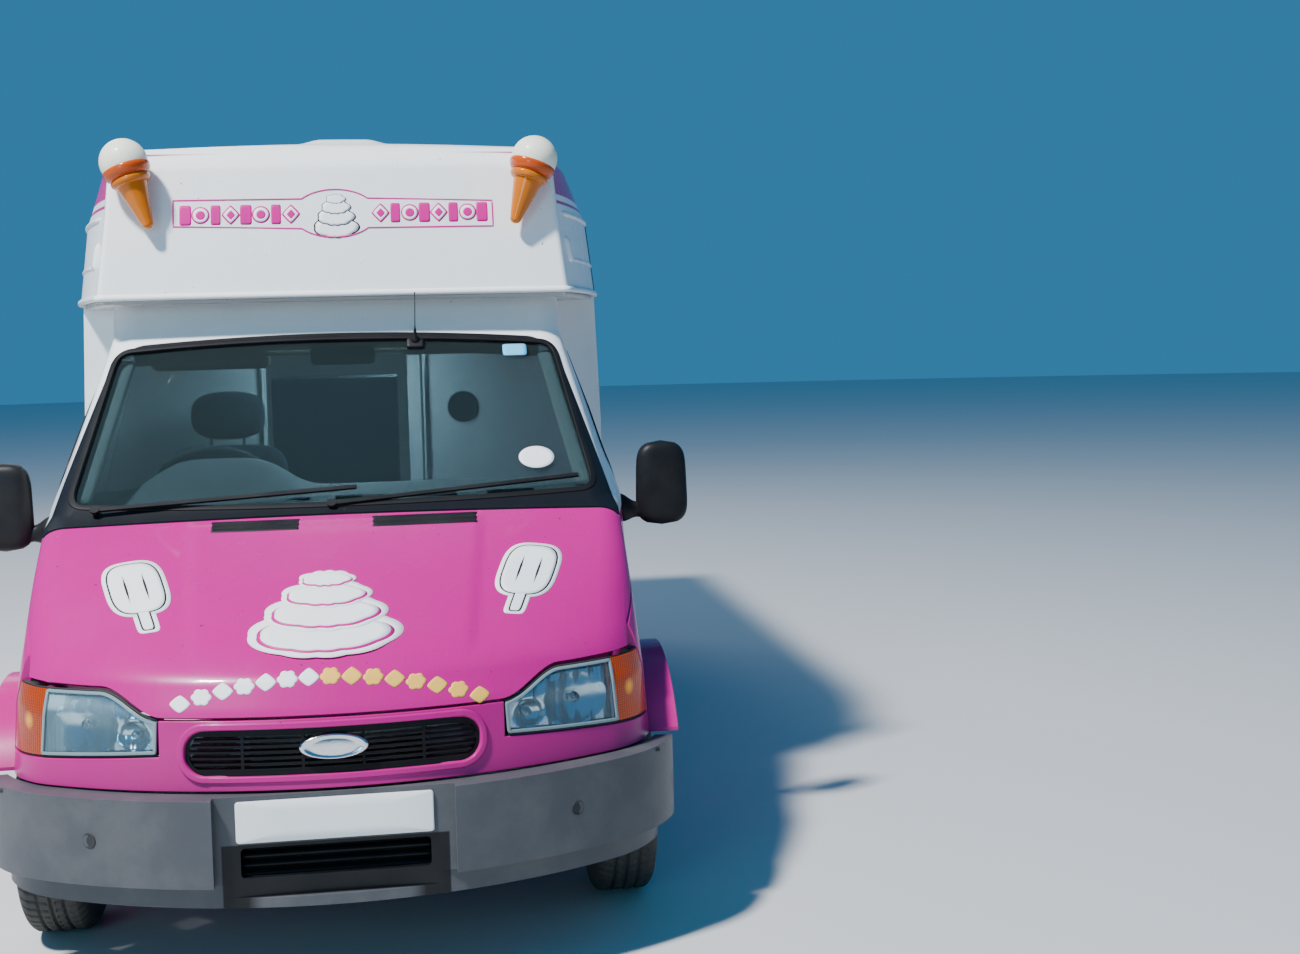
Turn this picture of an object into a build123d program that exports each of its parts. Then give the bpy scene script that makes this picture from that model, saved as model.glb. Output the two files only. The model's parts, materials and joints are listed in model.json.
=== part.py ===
from build123d import *
import os
from typing import NamedTuple

os.makedirs("parts", exist_ok=True)

# Overall sizes in millimetres, the van faces -Y and its left side is +X
LENGTH = 5600.0
FRONT = -LENGTH / 2
SKIN = 22.0
CAB_WALL = 42.0
SHUT_GAP = 6.0

# Wheels and axles
FRONT_AXLE = 815.0
REAR_AXLE = 4385.0
TRACK_HALF = 845.0
TYRE_R = 327.0
TYRE_W = 195.0
RIM_R = 190.0
KINGPIN_X = 780.0
PIN_R = 12.0
SPINDLE_R = 22.0
FIT = 0.05
ARCH_R = 385.0
ARCH_Z = 352.0
FLARE_R = 432.0
FLARE_X = 998.0
FLARE_IN = 893.0

# Cab stations behind the front of the bumper
NOSE_END = 448.0
BONNET_REAR = 826.0
DOOR_FRONT = 1215.0
DOOR_REAR = 2070.0
DOOR_REAR_GAP = 13.0
DOOR_LOW = 470.0
DOOR_HIGH = 1770.0
CAB_REAR = 2150.0
HINGE_Z = 1234.0
CAB_FLOOR_X = 878.0

# Coachbuilt body
BULKHEAD = 30.0
BODY_START = CAB_REAR + BULKHEAD
BODY_END = 5550.0
BODY_WALL = 32.0
BODY_LOW = 430.0
ROOF_LOW = 1925.0
FLOOR_Z = 560.0
FLOOR_T = 30.0
REAR_T = 30.0
BUMPER_LOW = 335.0
BUMPER_HIGH = 570.0
RAIL_LOW = 450.0
TOW_Z = 469.0
TOW_SPACING = 90.0
TOW_HOLE_R = 8.5

SIDES = (("left", 1), ("right", -1))


class CabRow(NamedTuple):
    """One level of the cab: z, nose y, bow end, corner end, side knee, rear width, wall depth."""

    z: float
    y0: float
    xa: float
    ya: float
    xb: float
    yb: float
    xs: float
    ys: float
    xw: float
    depth: float


class RoofRow(NamedTuple):
    """One level of the over-cab moulding: z, front y, bow end, corner end, side, rear y, bulge."""

    z: float
    y0: float
    xa: float
    ya: float
    xb: float
    yb: float
    xs: float
    rear: float
    bulge: float


CAB_ROWS = (
    CabRow(400, 30, 790, 255, 925, 495, 962, 1215, 980, 1.0),
    CabRow(774, 58, 760, 270, 903, 495, 958, 1215, 984, 1.05),
    CabRow(880, 125, 750, 326, 893, 530, 955, 1215, 985, 1.6),
    CabRow(1060, 465, 788, 570, 892, 705, 950, 1215, 985, 2.0),
    CabRow(1215, 805, 820, 820, 890, 893, 942, 1215, 975, 1.8),
    CabRow(1245, 850, 800, 872, 876, 940, 934, 1215, 967, 1.4),
    CabRow(1800, 1490, 690, 1512, 775, 1580, 788, 1700, 812, 1.3),
    CabRow(1925, 1590, 690, 1612, 785, 1690, 795, 1790, 808, 1.1),
)

ROOF_ROWS = (
    RoofRow(ROOF_LOW, 1437, 787, 1448, 809, 1467, 982, 5575, 24),
    RoofRow(2220, 1510, 760, 1523, 781, 1542, 948, 5560, 22),
    RoofRow(2416, 1565, 748, 1578, 770, 1597, 864, 5540, 15),
    RoofRow(2484, 1665, 636, 1677, 676, 1725, 770, 5480, 8),
)


class Bead(NamedTuple):
    """One raised bead round the moulding: low z, high z, how far it stands out, front y."""

    low: float
    high: float
    out: float
    front: float


BEADS = (
    Bead(ROOF_LOW, 1948, 12, 1280),
    Bead(2206, 2223, 9, 1605),
    Bead(2041, 2055, 5, 1605),
)
VENTS = ((-384, -108), (102, 436))


def level(z: float) -> Plane:
    """Horizontal plane at height z."""
    return Plane.XY.offset(z)


def across(y: float) -> Plane:
    """Upright plane across the van, y behind the front of the bumper, seen from the front."""
    return Plane.XZ.offset(-(FRONT + y))


def along(x: float) -> Plane:
    """Upright plane along the van at x, whose first axis runs rearwards."""
    return Plane.YZ.offset(x)


def side_points(*points: tuple[float, float]) -> list[tuple[float, float]]:
    """Side view points given as y behind the bumper front and z."""
    return [(FRONT + y, z) for y, z in points]


def cab_form(inset: float, low: float = 400.0, high: float = 1925.0) -> Part:
    """Closed cab volume lofted through its levels, shrunk by inset."""
    with BuildPart() as form:
        for row in CAB_ROWS:
            z = {CAB_ROWS[0].z: low, CAB_ROWS[-1].z: high}.get(row.z, row.z)
            push = inset * row.depth
            with BuildSketch(level(z)):
                with BuildLine():
                    nose = (0, FRONT + row.y0 + push)
                    bow = (row.xa - inset / 2, FRONT + row.ya + push)
                    corner = (row.xb - inset, FRONT + row.yb + push / 2)
                    knee = (row.xs - inset, FRONT + row.ys)
                    tail = (row.xw - inset, FRONT + CAB_REAR)
                    front = TangentArc(nose, bow, tangent=(1, 0))
                    TangentArc(bow, corner, tangent=front % 1)
                    Line(corner, knee)
                    Line(knee, tail)
                    Line(tail, (0, FRONT + CAB_REAR))
                    mirror(about=Plane.YZ)
                make_face()
        loft(ruled=True)
    return form.part


def roof_form(inset: float) -> Part:
    """Closed volume of the over-cab moulding and roof, shrunk by inset."""
    with BuildPart() as form:
        for row in ROOF_ROWS:
            z = row.z - inset if row.z == ROOF_ROWS[-1].z else row.z
            with BuildSketch(level(z)):
                with BuildLine():
                    nose = (0, FRONT + row.y0 + inset)
                    bow = (row.xa - inset / 2, FRONT + row.ya + inset)
                    corner = (row.xb - inset, FRONT + row.yb + inset / 2)
                    knee = (row.xs - inset, FRONT + BODY_START)
                    tail = (row.xs - inset, FRONT + row.rear - inset)
                    front = TangentArc(nose, bow, tangent=(1, 0))
                    TangentArc(bow, corner, tangent=front % 1)
                    flank = Vector(knee[0] - corner[0], knee[1] - corner[1])
                    crest = (Vector(*corner) + Vector(*knee)) * 0.5
                    crest += Vector(flank.Y, -flank.X).normalized() * row.bulge
                    ThreePointArc(corner, crest, knee)
                    Line(knee, tail)
                    Line(tail, (0, FRONT + row.rear - inset))
                    mirror(about=Plane.YZ)
                make_face()
        loft(ruled=True)
    return form.part


CAB_OUTER = cab_form(0)
SKIN_INNER = cab_form(SKIN, low=390)
CAB_INNER = cab_form(CAB_WALL, low=390, high=1885)
ROOF_OUTER = roof_form(0)
ROOF_INNER = roof_form(32)


def lamp_outline(grow: float = 0.0) -> Sketch:
    """Front view outline of the left lamp cluster, grown for its gap."""
    with BuildSketch() as outline:
        with BuildLine():
            arc = ThreePointArc((466 - grow, 762), (512, 812 + grow), (622, 836 + grow))
            Line(arc @ 1, (960, 834 + grow))
            Line((960, 834 + grow), (960, 642 - grow))
            Line((960, 642 - grow), (466 - grow, 670 - grow))
            Line((466 - grow, 670 - grow), arc @ 0)
        make_face()
    return outline.sketch_local


# Bonnet: clamshell between the lamps, hinged along its rear edge
with BuildPart() as bonnet:
    add(CAB_OUTER)
    add(SKIN_INNER, mode=Mode.SUBTRACT)
    with BuildSketch(across(-60)):
        with BuildLine():
            edge = ThreePointArc((460, 768), (507, 817), (620, 842))
            Line(edge @ 1, (980, 840))
            Line((980, 840), (980, 1260))
            Line((980, 1260), (0, 1260))
            Line((460, 768), (0, 768))
            mirror(about=Plane.YZ)
        make_face()
    extrude(amount=-(BONNET_REAR + 60), mode=Mode.INTERSECT)
    with BuildSketch(along(-1000)):
        Polygon(
            *side_points((-60, 700), (330, 845), (BONNET_REAR, 1108), (BONNET_REAR, 1300), (-60, 1300)),
            align=None,
        )
    extrude(amount=2000, mode=Mode.INTERSECT)
    with BuildPart(mode=Mode.PRIVATE) as raised:
        add(cab_form(-7))
        add(cab_form(6), mode=Mode.SUBTRACT)
        with BuildSketch(across(250)):
            Polygon((-384, 912), (384, 912), (432, 1150), (432, 1260), (-432, 1260), (-432, 1150), align=None)
        extrude(amount=-(BONNET_REAR - 26 - 250), mode=Mode.INTERSECT)
    add(raised.part)
    with BuildPart(mode=Mode.PRIVATE) as vents:
        with BuildSketch(level(1150)):
            for x0, x1 in VENTS:
                with Locations(((x0 + x1) / 2, FRONT + 795)):
                    RectangleRounded(x1 - x0, 36, 8)
        extrude(amount=120)
        add(cab_form(9), mode=Mode.SUBTRACT)
    add(vents.part, mode=Mode.SUBTRACT)
bonnet.part.label = "bonnet"
export_step(bonnet.part, "parts/bonnet.step")

# Nose panel between and below the lamps, with the grille opening
with BuildPart() as nose_panel:
    add(CAB_OUTER)
    add(SKIN_INNER, mode=Mode.SUBTRACT)
    with BuildSketch(across(-60)):
        with Locations((0, (575 + 762) / 2)):
            Rectangle(2000, 762 - 575)
    extrude(amount=-(NOSE_END + 60), mode=Mode.INTERSECT)
    with BuildSketch(across(-60)):
        add(lamp_outline(4))
        mirror(about=Plane.YZ)
    extrude(amount=-(NOSE_END + 80), mode=Mode.SUBTRACT)
    with BuildSketch(across(-60)):
        with Locations((0, 676)):
            RectangleRounded(790, 124, 58)
    extrude(amount=-400, mode=Mode.SUBTRACT)
    with BuildPart(mode=Mode.PRIVATE) as surround:
        add(cab_form(-5))
        add(cab_form(10), mode=Mode.SUBTRACT)
        with BuildSketch(across(-60)):
            with Locations((0, 676)):
                RectangleRounded(822, 156, 74)
                RectangleRounded(790, 124, 58, mode=Mode.SUBTRACT)
        extrude(amount=-400, mode=Mode.INTERSECT)
    add(surround.part)
nose_panel.part.label = "nose_panel"
export_step(nose_panel.part, "parts/nose_panel.step")

# Grille: curved frame with seven slats and four uprights behind them
GRILLE_BACK = cab_form(SKIN + 14)
GRILLE_FACE = cab_form(6)
with BuildPart() as grille:
    add(GRILLE_FACE)
    add(GRILLE_BACK, mode=Mode.SUBTRACT)
    with BuildSketch(across(-60)):
        with Locations((0, 676)):
            RectangleRounded(790, 124, 58)
            RectangleRounded(766, 100, 46, mode=Mode.SUBTRACT)
        for row in range(7):
            with Locations((0, 676 + (row - 3) * 15.5)):
                Rectangle(2 * (385 - 8 * abs(row - 3)), 6)
        for x in (-240, -80, 80, 240):
            with Locations((x, 676)):
                Rectangle(8, 110)
    extrude(amount=-400, mode=Mode.INTERSECT)
grille.part.label = "grille"
export_step(grille.part, "parts/grille.step")

# Headlamp and indicator clusters
with BuildPart() as lamp_left:
    add(cab_form(2))
    with BuildSketch(across(-60)):
        add(lamp_outline())
    extrude(amount=-(NOSE_END + 60), mode=Mode.INTERSECT)
    with BuildSketch(along(300)):
        Polygon(*side_points((430, 600), (NOSE_END + 20, 600), (NOSE_END + 20, 900), (430, 900)), align=None)
    extrude(amount=560, mode=Mode.SUBTRACT)
lamp_left.part.label = "lamp_left"
export_step(lamp_left.part, "parts/lamp_left.step")

with BuildPart() as lamp_right:
    mirror(lamp_left.part, about=Plane.YZ)
lamp_right.part.label = "lamp_right"
export_step(lamp_right.part, "parts/lamp_right.step")

# Front wings with wheel arch flares
with BuildPart() as wing_left:
    add(CAB_OUTER)
    add(SKIN_INNER, mode=Mode.SUBTRACT)
    with BuildSketch(along(0)):
        with BuildLine():
            top = Polyline(
                *side_points(
                    (NOSE_END + 4, 576),
                    (NOSE_END + 4, 902),
                    (BONNET_REAR, 1101),
                    (DOOR_FRONT - SHUT_GAP, 1190),
                    (DOOR_FRONT - SHUT_GAP, DOOR_LOW),
                    (600, DOOR_LOW),
                    (600, 576),
                ),
                close=True,
            )
        make_face()
    extrude(amount=1000, mode=Mode.INTERSECT)
    with BuildSketch(along(FLARE_IN)):
        with Locations((FRONT + FRONT_AXLE, ARCH_Z)):
            Circle(FLARE_R)
        Polygon(
            *side_points(
                (NOSE_END + 4, 576),
                (NOSE_END + 4, 1101),
                (DOOR_FRONT - SHUT_GAP, 1101),
                (DOOR_FRONT - SHUT_GAP, DOOR_LOW),
                (600, DOOR_LOW),
                (600, 576),
            ),
            align=None,
            mode=Mode.INTERSECT,
        )
    extrude(amount=FLARE_X - FLARE_IN)
    with BuildSketch(along(500)):
        with Locations((FRONT + FRONT_AXLE, ARCH_Z)):
            Circle(ARCH_R)
    extrude(amount=600, mode=Mode.SUBTRACT)
wing_left.part.label = "wing_left"
export_step(wing_left.part, "parts/wing_left.step")

with BuildPart() as wing_right:
    mirror(wing_left.part, about=Plane.YZ)
wing_right.part.label = "wing_right"
export_step(wing_right.part, "parts/wing_right.step")

# Front bumper: moulded, recessed at the centre for the number plate
with BuildPart() as front_bumper:
    with BuildSketch(level(BUMPER_LOW)):
        with BuildLine():
            outer = TangentArc((0, FRONT - 34), (790, FRONT + 190), tangent=(1, 0))
            turn = TangentArc(outer @ 1, (976, FRONT + 430), tangent=outer % 1)
            Line(turn @ 1, (925, FRONT + 440))
            inner = TangentArc((0, FRONT + 40), (755, FRONT + 255), tangent=(1, 0))
            back = TangentArc(inner @ 1, (925, FRONT + 440), tangent=inner % 1)
            mirror(about=Plane.YZ)
        make_face()
    extrude(amount=BUMPER_HIGH - BUMPER_LOW)
    with BuildSketch(level(272)):
        with BuildLine():
            outer = TangentArc((0, FRONT + 6), (760, FRONT + 222), tangent=(1, 0))
            turn = TangentArc(outer @ 1, (925, FRONT + 428), tangent=outer % 1)
            Line(turn @ 1, (880, FRONT + 440))
            inner = TangentArc((0, FRONT + 50), (725, FRONT + 265), tangent=(1, 0))
            back = TangentArc(inner @ 1, (880, FRONT + 440), tangent=inner % 1)
            mirror(about=Plane.YZ)
        make_face()
    extrude(amount=BUMPER_LOW - 272)
    with BuildSketch(level(300)):
        with Locations((0, FRONT - 34)):
            Rectangle(636, 66 * 2)
    extrude(amount=300, mode=Mode.SUBTRACT)
    with BuildSketch(across(-60)):
        with Locations((0, 390)):
            RectangleRounded(500, 80, 12)
    extrude(amount=-400, mode=Mode.SUBTRACT)
    for side in (1, -1):
        with BuildSketch(level(460)):
            with Locations((side * 400, FRONT + 110)):
                Rectangle(50, 60)
        extrude(amount=80)
front_bumper.part.label = "front_bumper"
export_step(front_bumper.part, "parts/front_bumper.step")


def screen_outline() -> Sketch:
    """Windscreen outline in front view."""
    with BuildSketch() as outline:
        with BuildLine():
            foot = ThreePointArc((-830, 1276), (0, 1256), (830, 1276))
            Line(foot @ 1, (748, 1752))
            head = ThreePointArc((748, 1752), (0, 1786), (-748, 1752))
            Line(head @ 1, foot @ 0)
        make_face()
        fillet(outline.vertices(), 45)
    return outline.sketch_local


def door_outline(grow: float = 0.0, rear: float = 0.0) -> Sketch:
    """Door outline in side view, grown for its gap."""
    with BuildSketch() as outline:
        Polygon(
            *side_points(
                (DOOR_FRONT - grow, DOOR_LOW - grow),
                (DOOR_FRONT - grow, 1388 + grow / 3),
                (1655 - grow / 2, DOOR_HIGH + grow),
                (DOOR_REAR + rear, DOOR_HIGH + grow),
                (DOOR_REAR + rear, DOOR_LOW - grow),
            ),
            align=None,
        )
    return outline.sketch_local


def door_window() -> Sketch:
    """Door window outline in side view."""
    with BuildSketch() as outline:
        Polygon(
            *side_points((1285, 1190), (1285, 1370), (1680, 1712), (2000, 1712), (2000, 1190)),
            align=None,
        )
        fillet(outline.vertices(), 35)
    return outline.sketch_local


# Cab shell: scuttle, pillars, header, roof front, sills, floor and firewall
with BuildPart() as cab_shell:
    add(CAB_OUTER)
    add(CAB_INNER, mode=Mode.SUBTRACT)
    with BuildSketch(along(-1000)):
        Polygon(
            *side_points(
                (BONNET_REAR + 9, 1111),
                (DOOR_FRONT, 1197),
                (DOOR_FRONT, 400),
                (CAB_REAR, 400),
                (CAB_REAR, 1925),
                (BONNET_REAR + 9, 1925),
            ),
            align=None,
        )
    extrude(amount=2000, mode=Mode.INTERSECT)
    with BuildSketch(across(700)):
        add(screen_outline())
    extrude(amount=-900, mode=Mode.SUBTRACT)
    with BuildSketch(along(-1000)):
        add(door_outline(SHUT_GAP, DOOR_REAR_GAP))
    extrude(amount=2000, mode=Mode.SUBTRACT)
    with BuildSketch(along(-CAB_FLOOR_X)):
        Polygon(
            *side_points(
                (1216, FLOOR_Z),
                (1000, 745),
                (1000, 1175),
                (1030, 1175),
                (1030, 758),
                (1228, FLOOR_Z + FLOOR_T),
                (CAB_REAR, FLOOR_Z + FLOOR_T),
                (CAB_REAR, FLOOR_Z),
            ),
            align=None,
        )
    extrude(amount=2 * CAB_FLOOR_X)
    with BuildSketch(level(400)):
        for side in (1, -1):
            with Locations((side * 905, FRONT + (DOOR_FRONT + CAB_REAR) / 2)):
                Rectangle(70, CAB_REAR - DOOR_FRONT)
    extrude(amount=60)
    with BuildSketch(level(460)):
        for side in (1, -1):
            with Locations((side * 880, FRONT + (DOOR_FRONT + CAB_REAR) / 2)):
                Rectangle(40, CAB_REAR - DOOR_FRONT)
    extrude(amount=FLOOR_Z - 460)
cab_shell.part.label = "cab_shell"
export_step(cab_shell.part, "parts/cab_shell.step")

# Windscreen glass seated in its opening
with BuildPart() as windscreen:
    add(cab_form(5))
    add(cab_form(12), mode=Mode.SUBTRACT)
    with BuildSketch(across(700)):
        add(screen_outline())
    extrude(amount=-900, mode=Mode.INTERSECT)
windscreen.part.label = "windscreen"
export_step(windscreen.part, "parts/windscreen.step")

# Cab doors with their glass and mirrors
with BuildPart() as door_left:
    add(CAB_OUTER)
    add(CAB_INNER, mode=Mode.SUBTRACT)
    with BuildSketch(along(400)):
        add(door_outline())
    extrude(amount=700, mode=Mode.INTERSECT)
    with BuildSketch(along(400)):
        add(door_window())
    extrude(amount=700, mode=Mode.SUBTRACT)
door_left.part.label = "door_left"
export_step(door_left.part, "parts/door_left.step")

with BuildPart() as door_right:
    mirror(door_left.part, about=Plane.YZ)
door_right.part.label = "door_right"
export_step(door_right.part, "parts/door_right.step")

with BuildPart() as door_glass_left:
    add(cab_form(15))
    add(cab_form(20), mode=Mode.SUBTRACT)
    with BuildSketch(along(400)):
        add(door_window())
    extrude(amount=700, mode=Mode.INTERSECT)
door_glass_left.part.label = "door_glass_left"
export_step(door_glass_left.part, "parts/door_glass_left.step")

with BuildPart() as door_glass_right:
    mirror(door_glass_left.part, about=Plane.YZ)
door_glass_right.part.label = "door_glass_right"
export_step(door_glass_right.part, "parts/door_glass_right.step")

with BuildPart() as mirror_left:
    with BuildSketch(level(1108)):
        with Locations((1090, FRONT + 1262)):
            RectangleRounded(176, 84, 30)
    extrude(amount=292)
    fillet(mirror_left.edges().group_by(Axis.Z)[-1], 26)
    fillet(mirror_left.edges().group_by(Axis.Z)[0], 26)
    with BuildSketch(along(900)):
        with Locations((FRONT + 1262, 1172)):
            RectangleRounded(60, 84, 20)
    extrude(amount=130)
    add(CAB_OUTER, mode=Mode.SUBTRACT)
mirror_left.part.label = "mirror_left"
export_step(mirror_left.part, "parts/mirror_left.step")

with BuildPart() as mirror_right:
    mirror(mirror_left.part, about=Plane.YZ)
mirror_right.part.label = "mirror_right"
export_step(mirror_right.part, "parts/mirror_right.step")

# Dashboard with instrument hood and steering column
COLUMN = Plane(
    origin=(-445, FRONT + 1541, 1281), x_dir=(1, 0, 0), z_dir=(0, 0.7071, 0.7071)
)
with BuildPart() as dashboard:
    with BuildSketch(along(-860)):
        with BuildLine():
            Polyline(
                *side_points(
                    (1032, 900), (1032, 1215), (1290, 1272), (1370, 1240), (1385, 1130), (1290, 960), (1200, 900)
                ),
                close=True,
            )
        make_face()
    extrude(amount=1720)
    with BuildSketch(along(-600)):
        with BuildLine():
            Polyline(*side_points((1250, 1220), (1270, 1350), (1380, 1372), (1400, 1220)), close=True)
        make_face()
    extrude(amount=400)
    with BuildSketch(COLUMN.offset(-42)):
        Circle(34)
    extrude(amount=-260)
dashboard.part.label = "dashboard"
export_step(dashboard.part, "parts/dashboard.step")

# Steering wheel
with BuildPart() as steering_wheel:
    with BuildSketch(Plane(origin=COLUMN.origin, x_dir=(1, 0, 0), z_dir=(0, -0.7071, 0.7071))):
        with Locations((186, 0)):
            Circle(14)
    revolve(axis=Axis(COLUMN.origin, (0, 0.7071, 0.7071)))
    with BuildSketch(COLUMN.offset(-34)):
        Circle(55)
    extrude(amount=42)
    with BuildSketch(COLUMN.offset(-8)):
        with PolarLocations(0, 3, start_angle=90):
            with Locations((90, 0)):
                Rectangle(180, 26)
    extrude(amount=12)
steering_wheel.part.label = "steering_wheel"
export_step(steering_wheel.part, "parts/steering_wheel.step")

# Driver's seat with head restraint
with BuildPart() as driver_seat:
    with BuildSketch(along(-445)):
        with BuildLine():
            Polyline(
                *side_points(
                    (1600, 590), (1600, 860), (1540, 900), (1540, 990), (1880, 980),
                    (1945, 1400), (1960, 1430), (1985, 1600), (2045, 1600), (2045, 1425),
                    (2020, 1400), (1990, 930), (1960, 860), (1960, 590)
                ),
                close=True,
            )
        make_face()
    extrude(amount=135, both=True)
    with BuildSketch(along(-445)):
        Polygon(*side_points((1540, 900), (1540, 990), (1880, 980), (1935, 1390), (2015, 1390), (1985, 930), (1960, 880)), align=None)
    extrude(amount=245, both=True)
driver_seat.part.label = "driver_seat"
export_step(driver_seat.part, "parts/driver_seat.step")

# Wipers: spindles on the scuttle, arms lying over the foot of the screen
WIPERS = (
    ((-734, 866, 1268), (60, 897, 1308)),
    ((-18, 856, 1262), (768, 927, 1318)),
)
with BuildPart() as wipers:
    for pivot, tip in WIPERS:
        run = Vector(tip[0] - pivot[0], tip[1] - pivot[1], tip[2] - pivot[2])
        start = Plane(origin=(pivot[0], FRONT + pivot[1], pivot[2]), x_dir=(0, -0.655, 0.756), z_dir=run)
        with BuildSketch(start):
            Rectangle(8, 14)
        extrude(amount=run.length)
        with BuildSketch(Plane(origin=start.origin, x_dir=(1, 0, 0), z_dir=(0, -0.655, 0.756))):
            Circle(15)
        extrude(amount=6)
        with BuildSketch(Plane(origin=start.origin, x_dir=(1, 0, 0), z_dir=(0, -0.655, 0.756)).offset(-40)):
            Circle(9)
        extrude(amount=40)
    add(CAB_OUTER, mode=Mode.SUBTRACT)
wipers.part.label = "wipers"
export_step(wipers.part, "parts/wipers.step")

# Chassis rails, crossmembers and fuel tank
with BuildPart() as chassis_frame:
    with BuildSketch(level(RAIL_LOW)):
        for side in (1, -1):
            with Locations((side * 400, FRONT + (140 + 5480) / 2)):
                Rectangle(60, 5480 - 140)
        for y in (200, 1300, 2100, 3000, 3900, 4870, 5440):
            with Locations((0, FRONT + y)):
                Rectangle(800, 60)
    extrude(amount=FLOOR_Z - RAIL_LOW)
    with BuildSketch(level(RAIL_LOW - 30)):
        for y in (440, 930):
            with Locations((0, FRONT + y)):
                Rectangle(860, 60)
    extrude(amount=30)
    with BuildSketch(level(330)):
        with Locations((-600, FRONT + 2850)):
            RectangleRounded(300, 700, 30)
    extrude(amount=190)
    with BuildSketch(level(500)):
        for y in (2600, 3100):
            with Locations((-500, FRONT + y)):
                Rectangle(200, 40)
    extrude(amount=30)
chassis_frame.part.label = "chassis_frame"
export_step(chassis_frame.part, "parts/chassis_frame.step")

# Engine as one plain block on its crossmembers
with BuildPart() as engine_block:
    with BuildSketch(level(RAIL_LOW)):
        with Locations((0, FRONT + 680)):
            Rectangle(500, 600)
    extrude(amount=430)
engine_block.part.label = "engine_block"
export_step(engine_block.part, "parts/engine_block.step")

# Front suspension: crossmember with upper and lower arms to the kingpin bosses
with BuildPart() as front_subframe:
    with BuildSketch(across(FRONT_AXLE - 50)):
        with Locations((0, 325)):
            Rectangle(880, 190)
    extrude(amount=-100)
    with BuildSketch(level(RAIL_LOW - 30)):
        with Locations((0, FRONT + FRONT_AXLE)):
            Rectangle(860, 100)
    extrude(amount=30)
    for z in (205, 424):
        with BuildSketch(level(z)):
            for side in (1, -1):
                with Locations((side * (430 + KINGPIN_X) / 2, FRONT + FRONT_AXLE)):
                    Rectangle(KINGPIN_X - 430, 50)
                with Locations((side * KINGPIN_X, FRONT + FRONT_AXLE)):
                    Circle(28)
                with Locations((side * 420, FRONT + FRONT_AXLE)):
                    Rectangle(60, 160)
        extrude(amount=25)
    with BuildSketch(level(200)):
        for side in (1, -1):
            with Locations((side * KINGPIN_X, FRONT + FRONT_AXLE)):
                Circle(PIN_R + FIT)
    extrude(amount=300, mode=Mode.SUBTRACT)
    with BuildSketch(level(205)):
        for side in (1, -1):
            with Locations((side * 420, FRONT + FRONT_AXLE)):
                Rectangle(60, 60)
    extrude(amount=244)
front_subframe.part.label = "front_subframe"
export_step(front_subframe.part, "parts/front_subframe.step")

# Rear axle with brake drums and leaf springs
with BuildPart() as rear_axle:
    with BuildSketch(along(-745)):
        with Locations((FRONT + REAR_AXLE, TYRE_R)):
            Circle(44)
    extrude(amount=1490)
    with Locations((0, FRONT + REAR_AXLE, TYRE_R)):
        Sphere(120)
    with BuildSketch(along(-745)):
        with Locations((FRONT + REAR_AXLE, TYRE_R)):
            Circle(130)
    extrude(amount=45)
    with BuildSketch(along(700)):
        with Locations((FRONT + REAR_AXLE, TYRE_R)):
            Circle(130)
    extrude(amount=45)
    with BuildSketch(along(-905)):
        with Locations((FRONT + REAR_AXLE, TYRE_R)):
            Circle(SPINDLE_R)
    extrude(amount=1810)
    for side in (1, -1):
        with BuildSketch(along(side * 400 - 32)):
            with BuildLine():
                low = ThreePointArc(*side_points((REAR_AXLE - 620, 420), (REAR_AXLE, 362), (REAR_AXLE + 620, 420)))
                Line(low @ 1, (FRONT + REAR_AXLE + 620, RAIL_LOW))
                Line((FRONT + REAR_AXLE + 620, RAIL_LOW), (FRONT + REAR_AXLE + 560, RAIL_LOW))
                high = ThreePointArc(*side_points((REAR_AXLE + 560, RAIL_LOW), (REAR_AXLE, 402), (REAR_AXLE - 560, RAIL_LOW)))
                Line(high @ 1, (FRONT + REAR_AXLE - 620, RAIL_LOW))
                Line((FRONT + REAR_AXLE - 620, RAIL_LOW), low @ 0)
            make_face()
        extrude(amount=64)
rear_axle.part.label = "rear_axle"
export_step(rear_axle.part, "parts/rear_axle.step")

# Steering knuckles with kingpins and wheel spindles
with BuildPart() as knuckle_left:
    with BuildSketch(level(231)):
        with Locations((KINGPIN_X, FRONT + FRONT_AXLE)):
            RectangleRounded(52, 70, 12)
    extrude(amount=192)
    with BuildSketch(level(206)):
        with Locations((KINGPIN_X, FRONT + FRONT_AXLE)):
            Circle(PIN_R)
    extrude(amount=242)
    with BuildSketch(along(KINGPIN_X)):
        with Locations((FRONT + FRONT_AXLE, TYRE_R)):
            Circle(SPINDLE_R)
    extrude(amount=905 - KINGPIN_X)
    with BuildSketch(level(300)):
        with Locations((KINGPIN_X - 12, FRONT + FRONT_AXLE + 75)):
            Rectangle(24, 120)
    extrude(amount=20)
knuckle_left.part.label = "knuckle_left"
export_step(knuckle_left.part, "parts/knuckle_left.step")

with BuildPart() as knuckle_right:
    mirror(knuckle_left.part, about=Plane.YZ)
knuckle_right.part.label = "knuckle_right"
export_step(knuckle_right.part, "parts/knuckle_right.step")

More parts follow.
